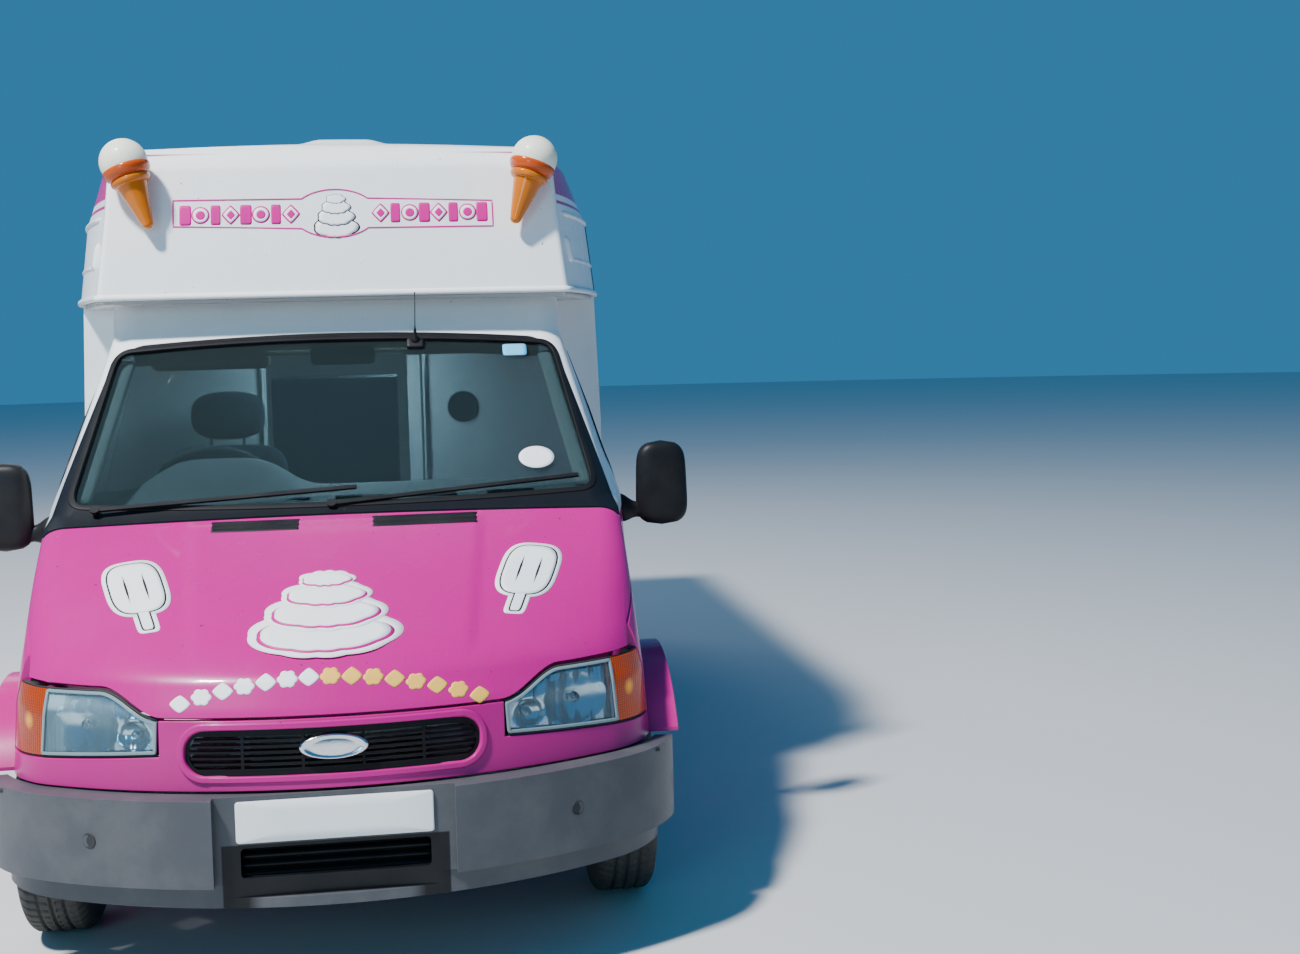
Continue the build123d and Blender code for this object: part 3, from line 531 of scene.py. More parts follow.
PINK_PAINT = Paint("pink_gloss", "pink_paint", Livery.PINK)
WAIST_PAINT = Paint("two_tone_gloss", "white_paint", Livery.WAIST)
CAB_PAINT = Paint("cab_gloss", "white_paint", Livery.CAB)
MOULDING_PAINT = Paint("moulding_gloss", "white_paint", Livery.MOULDING)
SOFFIT_PAINT = Paint("soffit_gloss", "white_paint", Livery.SOFFIT)
BLACK_PLASTIC = Plastic("black_moulding", "black_plastic", (0.007, 0.007, 0.008), 0.42, 0.00018, 0.08)
GRILLE_PLASTIC = Plastic("grille_moulding", "black_plastic", (0.003, 0.003, 0.004), 0.34, 0.00010, 0.03)
# The bumper's middle under the plate is painted near-black as painted shade.
BUMPER_PLASTIC = Plastic(
    "bumper_moulding", "grey_plastic", (0.062, 0.064, 0.072), 0.42, 0.00024, 0.30, 0.15, True)
DASH_PLASTIC = Plastic("dash_moulding", "dash_plastic", (0.36, 0.37, 0.38), 0.6, 0.00025, 0.2)
DARK_TRIM = Plastic("dark_trim", "black_plastic", (0.03, 0.03, 0.032), 0.6, 0.0002, 0.2)
RUBBER = Plastic("seal_rubber", "black_plastic", (0.005, 0.005, 0.006), 0.5, 0.00012, 0.03)
CONE_ORANGE = Plastic("cone_orange", "cone_plastic", (0.50, 0.125, 0.0), 0.16, 0.00003, 0.02, 0.5)
# The collar's darker, redder orange is painted shade for its underside, which faces down.
CONE_SHADED_ORANGE = Plastic("cone_collar", "cone_plastic", (0.45, 0.058, 0.0), 0.20, 0.00003, 0.02, 0.5)
CONE_CREAM = Plastic("cone_cream", "cone_plastic", (0.80, 0.74, 0.60), 0.35, 0.0003, 0.15, 0.3)
SCREEN_GLASS = Glass("screen_glass", "glass", (0.80, 0.93, 0.97), 0.004)
SIDE_GLASS = Glass("side_glass", "glass", (0.93, 0.97, 0.97), 0.006)
LAMP_CLEAR = Glass("lamp_clear", "lamp_lens", (0.93, 0.98, 1.0), 0.03, (0.40, 0.50, 0.54), 0.012)
# The indicator's and rear lamps' lenses glow with painted light, and the indicator's last numbers place
# its painted hot spot.
INDICATOR = Lens("indicator_lens", "lamp_lens", (0.34, 0.040, 0.0), 0.007, 0.45, (0.838, 0.742))
REAR_RED = Lens("rear_red_lens", "rear_lens", (0.55, 0.01, 0.01), 0.008, 0.04)
STICKER_WHITE = Plastic("sticker_white", "white_paint", (0.86, 0.86, 0.86), 0.4, 0.00005, 0.1)
STICKER_PINK = Plastic("sticker_pink", "pink_paint", PINK, 0.4, 0.00005, 0.05)
STICKER_INK = Plastic("sticker_ink", "black_plastic", (0.015, 0.015, 0.02), 0.4, 0.00005, 0.05)
STICKER_GOLD = Plastic("sticker_gold", "cone_plastic", (0.80, 0.42, 0.07), 0.4, 0.00005, 0.05)
STICKER_BLUE = Plastic("sticker_blue", "dash_plastic", (0.12, 0.48, 0.80), 0.4, 0.00005, 0.05)
PLATE = Plastic("plate_white", "white_paint", (0.80, 0.80, 0.78), 0.35, 0.00008, 0.25, 0.5)
PLATE_REAR = Plastic("plate_yellow", "white_paint", (0.80, 0.55, 0.04), 0.35, 0.00008, 0.25, 0.5)
MARKER = Plastic("marker_lens", "lamp_lens", (0.88, 0.88, 0.88), 0.25, 0.00008, 0.1, 0.6)
TRIM = Plastic("pillar_moulding", "dash_plastic", (0.72, 0.72, 0.68), 0.6, 0.0002, 0.1)
HEADLINING = Plastic("headlining", "dash_plastic", (0.26, 0.22, 0.17), 0.85, 0.0006, 0.1)
# Dark navy: the partition disc's own colour, and painted shade on the ice cream machine.
NAVY = Plastic("navy_panel", "black_plastic", (0.006, 0.014, 0.032), 0.35, 0.00006, 0.05, 0.1)
LINING = Plastic("white_lining", "white_paint", (0.84, 0.85, 0.84), 0.5, 0.0001, 0.1)
BRIGHT_STEEL = Metal("bright_steel", "counter_steel", (0.66, 0.66, 0.67), 0.25, 1.0, 0.1)
SILVERED = Metal("mirror_silver", "glass", (0.9, 0.9, 0.9), 0.03, 1.0)
REFLECTOR = Metal("reflector", "lamp_lens", (0.86, 0.87, 0.88), 0.12, 1.0)
BOWL = Metal("lamp_bowl", "lamp_lens", (0.86, 0.92, 0.94), 0.10, 0.9)
# The lamp edge's pale bluish grey is a painted highlight: the glint on the clear lens's side wall.
LAMP_EDGE_GLINT = Plastic("lamp_edge", "lamp_lens", (0.17, 0.23, 0.25), 0.15, 0.00004, 0.05, 0.8)
WHEEL_RIM = Plastic("steering_rim", "black_plastic", (0.13, 0.135, 0.14), 0.5, 0.0002, 0.1)
CHASSIS = Metal("chassis_paint", "chassis_steel", (0.03, 0.03, 0.032), 0.6, 0.3, 0.5)
CASTING = Metal("engine_casting", "engine_metal", (0.28, 0.28, 0.28), 0.55, 0.8, 0.2)
STAINLESS = Metal("stainless", "counter_steel", (0.62, 0.63, 0.64), 0.28, 1.0)
WHEEL_STEEL = Metal("wheel_steel", "rim_steel", (0.50, 0.51, 0.53), 0.38, 0.75, 0.25)
FLOOR = Plastic("floor_board", "floor_board", (0.16, 0.155, 0.15), 0.7, 0.0006, 0.5)
SEAT = Cloth("seat_cloth", "seat_fabric")
TYRE = Tread("tyre_tread", "tyre_rubber")


# ---------------------------------------------------------------- meshes


def place(points: Array) -> Array:
    """Returns points in the frame's metres, from millimetres with y from the bumper."""
    return (np.asarray(points, float) + np.array([0.0, FRONT, 0.0])) * 0.001


def turns(count: int) -> Array:
    """Returns evenly spaced angles all round."""
    return np.linspace(0, 2 * np.pi, count, endpoint=False)


def signed(value: Array, power: float) -> Array:
    """Returns a power that keeps the value's sign."""
    return np.sign(value) * np.abs(value) ** power


def step(value: Array, edge: float, width: float) -> Array:
    """Returns a smooth step from 0 to 1 about edge."""
    t = np.clip((value - edge) / width + 0.5, 0, 1)
    return t * t * (3 - 2 * t)


def leaned(points: Array, angle: float) -> Array:
    """Returns points turned about the x axis so that their tops lean back by angle."""
    c, s = math.cos(angle), math.sin(angle)
    x, y, z = np.moveaxis(points, -1, 0)
    return np.stack([x, y * c + z * s, z * c - y * s], -1)


def quads(rows: int, cols: int, close_rows: bool = False, close_cols: bool = False) -> Array:
    """Returns the corner numbers of a grid's quads, as whole arrays."""
    r = np.arange(rows if close_rows else rows - 1)[:, None]
    c = np.arange(cols if close_cols else cols - 1)[None, :]
    r1, c1 = (r + 1) % rows, (c + 1) % cols
    return np.stack([r * cols + c, r * cols + c1, r1 * cols + c1, r1 * cols + c], -1).reshape(-1, 4)


def mesh_of(name: str, points: Array, faces: Iterable) -> bpy.types.Object:
    """Returns an object at the origin with the given points in metres and faces."""
    mesh = bpy.data.meshes.new(name)
    mesh.from_pydata(np.asarray(points).reshape(-1, 3).tolist(), [], [list(f) for f in faces])
    mesh.validate()
    mesh.update()
    mesh.polygons.foreach_set("use_smooth", np.ones(len(mesh.polygons), bool))
    obj = bpy.data.objects.new(name, mesh)
    bpy.context.scene.collection.objects.link(obj)
    return obj


def grid(
    name: str, points: Array, close_rows: bool = False, close_cols: bool = False, caps: bool = False
) -> bpy.types.Object:
    """Returns a mesh over a (rows, cols, 3) array in mm.

    Args:
        name: Piece name.
        points: The grid; the normal is the cross product of the column and row steps.
        close_rows: Join the last row to the first.
        close_cols: Join the last column to the first.
        caps: Fill the first and last row with one face each.
    """
    rows, cols = points.shape[:2]
    faces = quads(rows, cols, close_rows, close_cols).tolist()
    if caps:
        faces.append(list(range(cols))[::-1])
        faces.append([(rows - 1) * cols + c for c in range(cols)])
    return mesh_of(name, place(points), faces)


def tidy_mesh(obj: bpy.types.Object, merge: float = 1e-5, recalc: bool = True) -> bpy.types.Object:
    """Merges doubled points and turns the faces outwards."""
    bm = bmesh.new()
    bm.from_mesh(obj.data)
    bmesh.ops.remove_doubles(bm, verts=bm.verts, dist=merge)
    if recalc:
        bmesh.ops.recalc_face_normals(bm, faces=bm.faces)
    bm.to_mesh(obj.data)
    bm.free()
    obj.data.update()
    return obj


def tube(name: str, points: Array, merge: float = 1e-5) -> bpy.types.Object:
    """Returns a closed form over a stack of closed loops, in mm."""
    return tidy_mesh(grid(name, points, close_cols=True, caps=True), merge)


def soften(
    obj: bpy.types.Object, width: float, segments: int = 2, angle: float = 32.0
) -> bpy.types.Object:
    """Rounds the edges sharper than angle to width mm, with flat faces kept flat."""
    mod = obj.modifiers.new("edge", "BEVEL")
    mod.width, mod.segments, mod.limit_method = width * 0.001, segments, "ANGLE"
    mod.angle_limit = math.radians(angle)
    mod.use_clamp_overlap = True
    mod.miter_outer = "MITER_ARC"
    level = obj.modifiers.new("level", "WEIGHTED_NORMAL")
    level.keep_sharp, level.weight = True, 60
    return obj


def thicken(obj: bpy.types.Object, thickness: float, offset: float = -1.0) -> bpy.types.Object:
    """Gives a sheet its wall, in mm, inwards from its face."""
    mod = obj.modifiers.new("wall", "SOLIDIFY")
    mod.thickness, mod.offset = thickness * 0.001, offset
    mod.use_even_offset = False
    return obj


def fit(
    obj: bpy.types.Object, finish: Finish, body: str | Body = Body.VAN, replaces: Sequence[str] = ()
) -> None:
    """Gives a piece its finish and body.

    Args:
        obj: The piece.
        finish: Its finish.
        body: The body that it rides on.
        replaces: CAD nodes that it stands for.
    """
    obj.data.materials.clear()
    obj.data.materials.append(finish.material())
    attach(obj, body.value if isinstance(body, Body) else body)
    if replaces:
        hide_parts(*replaces)
    LOG.info("%s: %d faces, rides on %s", obj.name, len(obj.data.polygons), body)


def refit(node: str, finish: Finish, width: float, angle: float = 32.0, segments: int = 2) -> None:
    """Adds a merged, edge-rounded and smooth copy of a CAD node that stands for it.

    Args:
        node: The CAD node.
        finish: The copy's finish.
        width: Size of the rounded edges in mm, or 0 for sharp ones.
        angle: Edges sharper than this are rounded, in degrees.
        segments: Faces across a rounded edge.
    """
    source = frame["nodes"][node]
    mesh = source.data.copy()
    obj = bpy.data.objects.new(node + "_panel", mesh)
    bpy.context.scene.collection.objects.link(obj)
    bm = bmesh.new()
    bm.from_mesh(mesh)
    bmesh.ops.remove_doubles(bm, verts=bm.verts, dist=1.5e-5)
    bmesh.ops.dissolve_limit(bm, angle_limit=math.radians(0.4), verts=bm.verts, edges=bm.edges)
    for face in bm.faces:
        face.smooth = True
    bm.to_mesh(mesh)
    bm.free()
    if width:
        soften(obj, width, segments, angle)
    else:
        mesh.set_sharp_from_angle(angle=math.radians(angle))
    fit(obj, finish, source["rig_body"], [node])


def sheet(
    name: str, points: Array, wall: float, finish: Finish, body: Body = Body.VAN,
    replaces: Sequence[str] = (), edge: tuple = ()
) -> None:
    """Adds a skin with a wall behind it.

    Args:
        name: Piece name.
        points: The skin's (rows, cols, 3) grid in mm.
        wall: Thickness in mm.
        finish: Its finish.
        body: The body that it rides on.
        replaces: CAD nodes that it stands for.
        edge: Width in mm, faces across and least angle of its rounded edges, or nothing.
    """
    piece = thicken(grid(name, points), wall)
    fit(soften(piece, *edge) if edge else piece, finish, body, replaces)


def normals(points: Array) -> Array:
    """Returns the unit normals of a grid: across its columns' step and its rows' step."""
    along_c = np.gradient(points, axis=1)
    along_r = np.gradient(points, axis=0)
    n = np.cross(along_c, along_r)
    return n / np.maximum(np.linalg.norm(n, axis=-1, keepdims=True), 1e-9)


def sweep(
    name: str, path: Array, out: Array, profile: Array, finish: Finish,
    closed: bool = False, body: str | Body = Body.VAN
) -> None:
    """Adds a section carried along a path.

    Each point is path + out * profile x + side * profile y, where side is the cross product of
    the path's direction and out.

    Args:
        name: Piece name.
        path: (n, 3) points in mm.
        out: (n, 3) or (3,) outward directions.
        profile: (k, 2) closed section, counter-clockwise.
        finish: Its finish.
        closed: Join the path's end to its start.
        body: The body that it rides on.
    """
    path = np.asarray(path, float)
    if closed:
        run = np.roll(path, -1, 0) - np.roll(path, 1, 0)
    else:
        run = np.gradient(path, axis=0)
    run /= np.linalg.norm(run, axis=1, keepdims=True)
    out = np.broadcast_to(np.asarray(out, float), path.shape)
    out = out - run * np.sum(out * run, axis=1, keepdims=True)
    out = out / np.linalg.norm(out, axis=1, keepdims=True)
    side = np.cross(run, out)
    points = path[:, None] + out[:, None] * profile[None, :, :1] + side[:, None] * profile[None, :, 1:]
    piece = tidy_mesh(grid(name, points, close_rows=closed, close_cols=True, caps=not closed))
    fit(piece, finish, body)


def ring_profile(radius: float, count: int) -> Array:
    """Returns a round section."""
    a = turns(count)
    return np.stack([radius * np.cos(a), radius * np.sin(a)], 1)


def box_profile(low: float, high: float, half: float, corner: float, steps: int = 3) -> Array:
    """Returns a rounded oblong section from low to high outwards and half to each side."""
    a = np.linspace(0, np.pi / 2, steps + 1)
    right, left, top = high - corner, low + corner, half - corner
    arcs = []
    for k, (cx, cy) in enumerate(((right, top), (left, top), (left, -top), (right, -top))):
        t = a + k * np.pi / 2
        arcs.append(np.stack([cx + corner * np.cos(t), cy + corner * np.sin(t)], 1))
    return np.concatenate(arcs)


def rounded_loop(half_x: float, half_z: float, corner: float, steps: int = 8) -> Array:
    """Returns a rounded rectangle's (x, z) loop, counter-clockwise from its right side."""
    return box_profile(-half_x, half_x, half_z, corner, steps)


def lathe(
    name: str, base: Array, axis: Array, profile: Sequence, finish: Finish,
    count: int = 48, replaces: Sequence[str] = ()
) -> None:
    """Adds a turned form on the van's body.

    Each point is base + axis * height + (cos a * u + sin a * v) * radius, for the profile's
    (radius, height) pairs and angles a all round; u and v are square to the axis.

    Args:
        name: Piece name.
        base: The axis's start in mm.
        axis: Its direction.
        profile: (radius, height) pairs in mm.
        finish: Its finish.
        count: Points round it.
        replaces: CAD nodes that it stands for.
    """
    profile = np.asarray(profile, float)
    axis = np.asarray(axis, float) / np.linalg.norm(axis)
    u = np.cross(axis, [0.0, 0.0, 1.0] if abs(axis[2]) < 0.9 else [1.0, 0.0, 0.0])
    u /= np.linalg.norm(u)
    v = np.cross(axis, u)
    a = turns(count)
    ring = np.cos(a)[:, None] * u + np.sin(a)[:, None] * v
    points = np.asarray(base, float) + profile[:, None, 1:] * axis + profile[:, None, :1] * ring[None]
    fit(tube(name, points), finish, replaces=replaces)


def board(
    name: str, loop: Array, layers: Iterable, centre: Sequence[float], finish: Finish,
    body: str | Body = Body.VAN, lean: float = 0.0, mirror: float = 1.0
) -> None:
    """Adds a flat piece, made of one loop that is scaled and shifted from layer to layer.

    Args:
        name: Piece name.
        loop: (n, 2) points over x and z about its middle, in mm.
        layers: The loop's scale and y for each layer.
        centre: Place of its middle in mm.
        finish: Its finish.
        body: The body that it rides on.
        lean: Angle that its top leans back, in radians.
        mirror: -1 to mirror it to the van's right.
    """
    p = np.stack([np.insert(loop * scale, 1, y, 1) for scale, y in layers])
    fit(tube(name, (leaned(p, lean) + centre) * (mirror, 1.0, 1.0), 2e-5), finish, body)


def crowned(half: tuple, sharp: float, around: int, up: int) -> Array:
    """Returns a crowned block's grid about the origin.

    A point is (hx c(u)c(v), hy s(u)c(v), hz s(v)), with c and s the cosine and sine raised to the
    power sharp with their sign.

    Args:
        half: Its half sizes hx, hy and hz in mm.
        sharp: The power: 1 for an ellipsoid, towards 0 for a box.
        around: Points round it.
        up: Rows from its foot to its top.
    """
    u = turns(around)[None]
    v = np.linspace(-np.pi / 2, np.pi / 2, up)[:, None]
    x = half[0] * signed(np.cos(u), sharp) * signed(np.cos(v), sharp)
    y = half[1] * signed(np.sin(u), sharp) * signed(np.cos(v), sharp)
    return np.stack([x, y, half[2] * signed(np.sin(v), sharp) + 0 * u], -1)


# ---------------------------------------------------------------- the van's own form


@dataclass(frozen=True)
class LevelForm:
    """A form given by half outlines at a few heights, joined by straight lines.

    At each height the outline runs from the nose (0, y0) on an arc to the bow (xa, ya), on a
    second arc, tangent to the first, to the corner (xb, yb), straight to the knee (xs, ys) and
    on to the tail (xw, yt) and across to the middle of the back. The parameter s counts these
    five stretches from 0 to 5, and is negative on the van's right. The stretch from corner to
    knee may bulge outwards by 4 b t (1 - t). A fold between two heights is rounded by taking
    the mean of the form over a short band of heights.

    Args:
        rows: One line per height: z, y0, xa, ya, xb, yb, xs, ys, xw, yt, b.
        bands: (z, half height) pairs of the band.
    """

    rows: tuple
    bands: tuple

    def outlines(self, s: Array) -> Array:
        """Returns (rows, n, 2) points of every row's half outline at the parameters |s|."""
        table = np.array(self.rows, float)
        s = np.abs(s)
        nose = np.stack([np.zeros(len(table)), table[:, 1]], 1)
        bow, corner, knee, tail = (table[:, i:i + 2] for i in (2, 4, 6, 8))
        first, heading = self._arc(nose, bow, np.tile([1.0, 0.0], (len(table), 1)), np.clip(s, 0, 1))
        second, _ = self._arc(bow, corner, heading, np.clip(s - 1, 0, 1))
        t = np.clip(s - 2, 0, 1)[None, :, None]
        run = knee - corner
        out = np.stack([run[:, 1], -run[:, 0]], 1) / np.linalg.norm(run, axis=1, keepdims=True)
        third = corner[:, None] + run[:, None] * t + (4 * table[:, 10:11] * out)[:, None] * t * (1 - t)
        fourth = knee[:, None] + (tail - knee)[:, None] * np.clip(s - 3, 0, 1)[None, :, None]
        fifth = fourth * np.stack([1 - np.clip(s - 4, 0, 1), np.ones(len(s))], 1)[None]
        pick = [(s < k)[None, :, None] for k in (1, 2, 3, 4)]
        return np.where(pick[0], first, np.where(pick[1], second, np.where(
            pick[2], third, np.where(pick[3], fourth, fifth))))

    @staticmethod
    def _arc(start: Array, end: Array, heading: Array, t: Array) -> tuple[Array, Array]:
        """Returns points at t on arcs from start to end that leave along heading.

        With d = end - start, n the left normal and T the heading: radius = d.d / 2 d.n, the
        angle is 2 atan2(d.n, d.T), and a point is start + radius (sin T + (1 - cos) n).
        """
        left = np.stack([-heading[:, 1], heading[:, 0]], 1)
        d = end - start
        dn, dt = np.sum(d * left, 1), np.sum(d * heading, 1)
        radius = np.sum(d * d, 1) / (2 * dn)
        angle = 2 * np.arctan2(dn, dt)
        turn = angle[:, None] * t[None]
        points = start[:, None] + radius[:, None, None] * (
            np.sin(turn)[..., None] * heading[:, None] + (1 - np.cos(turn))[..., None] * left[:, None]
        )
        end_heading = np.cos(angle)[:, None] * heading + np.sin(angle)[:, None] * left
        return points, end_heading

    def at(self, s: Array, z: Array) -> Array:
        """Returns the form's points at parameters s.

        Args:
            s: (n,) parameters.
            z: (m, n) heights.
        """
        levels = np.array(self.rows, float)[:, 0]
        outlines = self.outlines(s)
        z = np.asarray(z, float)
        half = np.interp(z, [b[0] for b in self.bands], [b[1] for b in self.bands])
        shifts = (-1.0, -0.6, -0.2, 0.2, 0.6, 1.0)
        total = np.zeros(z.shape + (2,))
        columns = np.broadcast_to(np.arange(z.shape[-1]), z.shape)
        for shift in shifts:
            h = np.clip(z + shift * half, levels[0], levels[-1])
            low = np.clip(np.searchsorted(levels, h, "right") - 1, 0, len(levels) - 2)
            part = ((h - levels[low]) / (levels[low + 1] - levels[low]))[..., None]
            total += outlines[low, columns] * (1 - part) + outlines[low + 1, columns] * part
        total /= len(shifts)
        return np.stack([total[..., 0] * np.where(s < 0, -1.0, 1.0), total[..., 1], z], -1)

    def solve(self, s: Array, test: Test, low: float, high: float) -> Array:
        """Returns, for each s, the height where test(x, y, z) turns from below 0 to above it."""
        a, b = np.full(len(s), low), np.full(len(s), high)
        for _ in range(26):
            middle = (a + b) / 2
            p = self.at(s, middle[None])[0]
            above = test(p[:, 0], p[:, 1], p[:, 2]) > 0
            a, b = np.where(above, a, middle), np.where(above, middle, b)
        return (a + b) / 2

    def patch(self, s: Array, low: Array, high: Array, rows: int) -> Array:
        """Returns a (rows, n, 3) grid of the form between two heights of each column."""
        v = np.linspace(0, 1, rows)[:, None]
        return self.at(s, low[None] * (1 - v) + high[None] * v)

    @lru_cache(maxsize=None)
    def _level_table(self, along: int, start: float, pitch: float, count: int) -> tuple[Array, Array]:
        """Returns the levels 4 mm apart and, for each, the other coordinate over equal steps."""
        s = np.linspace(0, 2.98, 400) if along == 0 else np.linspace(1.5, 4, 400)
        levels = np.arange(self.rows[0][0], self.rows[-1][0], 4.0)
        table = self.at(s, np.tile(levels[:, None], (1, len(s))))
        span = start + np.arange(count) * pitch
        return levels, np.stack([np.interp(span, row[:, along], row[:, 1 - along]) for row in table])

    def _looked(self, along: int, start: float, pitch: float, count: int, at: Array, z: Array) -> Array:
        """Returns x over y, or y over x, from a table of levels 4 mm apart.

        At each level the other coordinate is looked up along the outline, and the result is
        weighed between the two levels and the two places about the point.
        """
        levels, looked = self._level_table(along, start, pitch, count)
        i = np.clip((z - levels[0]) / 4.0, 0, len(levels) - 1.001)
        j = np.clip((at - start) / pitch, 0, count - 1.001)
        i0, j0 = i.astype(int), j.astype(int)
        fi, fj = i - i0, j - j0
        return (looked[i0, j0] * (1 - fi) * (1 - fj) + looked[i0 + 1, j0] * fi * (1 - fj)
                + looked[i0, j0 + 1] * (1 - fi) * fj + looked[i0 + 1, j0 + 1] * fi * fj)

    def skin(self, x: Array, z: Array) -> Array:
        """Returns the front skin's points over arrays of x and z."""
        x, z = np.asarray(x, float), np.asarray(z, float)
        return np.stack([x, self._looked(0, 0.0, 2.0, 501, np.abs(x), z), z], -1)

    def flank(self, y: Array, z: Array, side: Side) -> Array:
        """Returns one side skin's points over arrays of y and z."""
        y, z = np.asarray(y, float), np.asarray(z, float)
        return np.stack([self._looked(1, 400.0, 4.0, 1300, y, z) * side.value, y, z], -1)

    def outward(self, x: Array, z: Array) -> Array:
        """Returns the front skin's outward normals over flat arrays of x and z."""
        p = self.skin(x, z)
        dx = self.skin(np.asarray(x) + 3.0, z) - p
        dz = self.skin(x, np.asarray(z) + 3.0) - p
        n = np.cross(dx, dz)
        return n / np.linalg.norm(n, axis=-1, keepdims=True)


CAB = LevelForm(
    rows=(
        (400, 30, 790, 255, 925, 495, 962, 1215, 980, CAB_REAR, 0),
        (774, 58, 760, 270, 903, 495, 958, 1215, 984, CAB_REAR, 0),
        (880, 125, 750, 326, 893, 530, 955, 1215, 985, CAB_REAR, 0),
        (1060, 465, 788, 570, 892, 705, 950, 1215, 985, CAB_REAR, 0),
        (1215, 805, 820, 820, 890, 893, 942, 1215, 975, CAB_REAR, 0),
        (1245, 850, 800, 872, 876, 940, 934, 1215, 967, CAB_REAR, 0),
        (1800, 1490, 690, 1512, 775, 1580, 788, 1700, 812, CAB_REAR, 0),
        (1925, 1590, 690, 1612, 785, 1690, 795, 1790, 808, CAB_REAR, 0),
    ),
    bands=(
        (400, 4), (740, 4), (820, 22), (880, 28), (960, 40), (1060, 60), (1150, 40), (1215, 10),
        (1260, 3),
    ),
)
ROOF = LevelForm(
    rows=(
        (1925, 1437, 787, 1448, 809, 1467, 982, BODY_START, 982, 5575, 24),
        (2220, 1510, 760, 1523, 781, 1542, 948, BODY_START, 948, 5560, 22),
        (2416, 1565, 748, 1578, 770, 1597, 864, BODY_START, 864, 5540, 15),
        (2484, 1665, 636, 1677, 676, 1725, 770, BODY_START, 770, 5480, 8),
    ),
    bands=((1925, 1), (2190, 8), (2220, 16), (2260, 16), (2376, 30), (2416, 40), (2484, 20)),
)


# ---------------------------------------------------------------- bonnet, nose and lamps


@dataclass
class Bonnet:
    """The clamshell bonnet: a folded skin from the lamps' tops to the windscreen's foot.

    Args:
        rear: The y of its rear edge.
        wall: Thickness of its skin.
        rows: Points from its lower to its rear edge.
        rise: How far the middle stands over the rest.
        crease: The |x| of the crease beside the raised middle, at its front.
        fold: The height where the raised middle starts.
        vents: Name and both ends' x of each vent in the rear edge.
    """

    rear: float = 826.0
    wall: float = 19.0
    rows: int = 56
    rise: float = 7.0
    crease: float = 384.0
    fold: float = 912.0
    vents: tuple = (("bonnet_vent_right", -384.0, -108.0), ("bonnet_vent_left", 102.0, 436.0))

    def lower(self, x: Array, y: Array) -> Array:
        """Returns the height of the lower edge: an S-bend over each lamp, then along the wing."""
        front = 768 + 74 * step(np.abs(x), 540, 170)
        side = np.maximum(front, 845 + (y - 330) * 263 / 496)
        return np.where(y < 437, front + np.maximum(y - 260, 0) * 0.05, side) + 3.0

    def edges(self, s: Array) -> tuple[Array, Array]:
        """Returns the heights of the lower and the rear edge at the parameters s."""
        low = CAB.solve(s, lambda x, y, z: z - self.lower(x, y), 700, 1240)
        return low, CAB.solve(s, lambda x, y, z: y - self.rear, 700, 1260)

    def surface(self) -> Array:
        """Returns the skin's grid, with the raised middle and the creases beside it."""
        probe = np.linspace(2.0, 2.9, 90)
        low, high = self.edges(probe)
        end = probe[np.argmax(high - low < 14)]
        half = np.concatenate(
            [np.linspace(0, 1, 50)[:-1], np.linspace(1, 2, 22)[:-1], np.linspace(2, end, 40)])
        s = np.concatenate([-half[:0:-1], half])
        low, high = self.edges(s)
        points = CAB.patch(s, low, np.maximum(high, low + 4), self.rows)
        x, z = np.abs(points[..., 0]), points[..., 2]
        edge = self.crease + (z - self.fold) * 0.2
        middle = (1 - step(x, edge, 30)) * step(z, self.fold, 70) * (1 - step(points[..., 1], 812, 20))
        return points + normals(points) * (middle * self.rise)[..., None]

    def vent(self, name: str, x0: float, x1: float) -> None:
        """Makes one slotted vent panel from x0 to x1, with three bars along it."""
        v, u = np.meshgrid(np.linspace(0, 1, 22), np.linspace(0, 1, 60), indexing="ij")
        x, z = x0 + (x1 - x0) * u, 1186 + 34 * v
        inside = np.minimum(np.minimum(u, 1 - u) * (x1 - x0) / 8, np.minimum(v, 1 - v) * 8)
        inside = np.clip(inside, 0, 1)
        bars = 2.2 * np.abs(np.sin(v * np.pi * 3))
        lift = self.rise - 6 + inside * 7.5 + bars * inside - 1.0
        p = CAB.skin(x, z) + CAB.outward(x, z) * lift[..., None]
        sheet(name, p, 6, BLACK_PLASTIC, Body.BONNET)

    def build(self) -> None:
        """Makes the skin and its two rear vents."""
        skin, edge = self.surface(), (4.0, 3, 40)
        sheet("bonnet_skin", skin, self.wall, PINK_PAINT, Body.BONNET, ["bonnet"], edge)
        for name, x0, x1 in self.vents:
            self.vent(name, x0, x1)


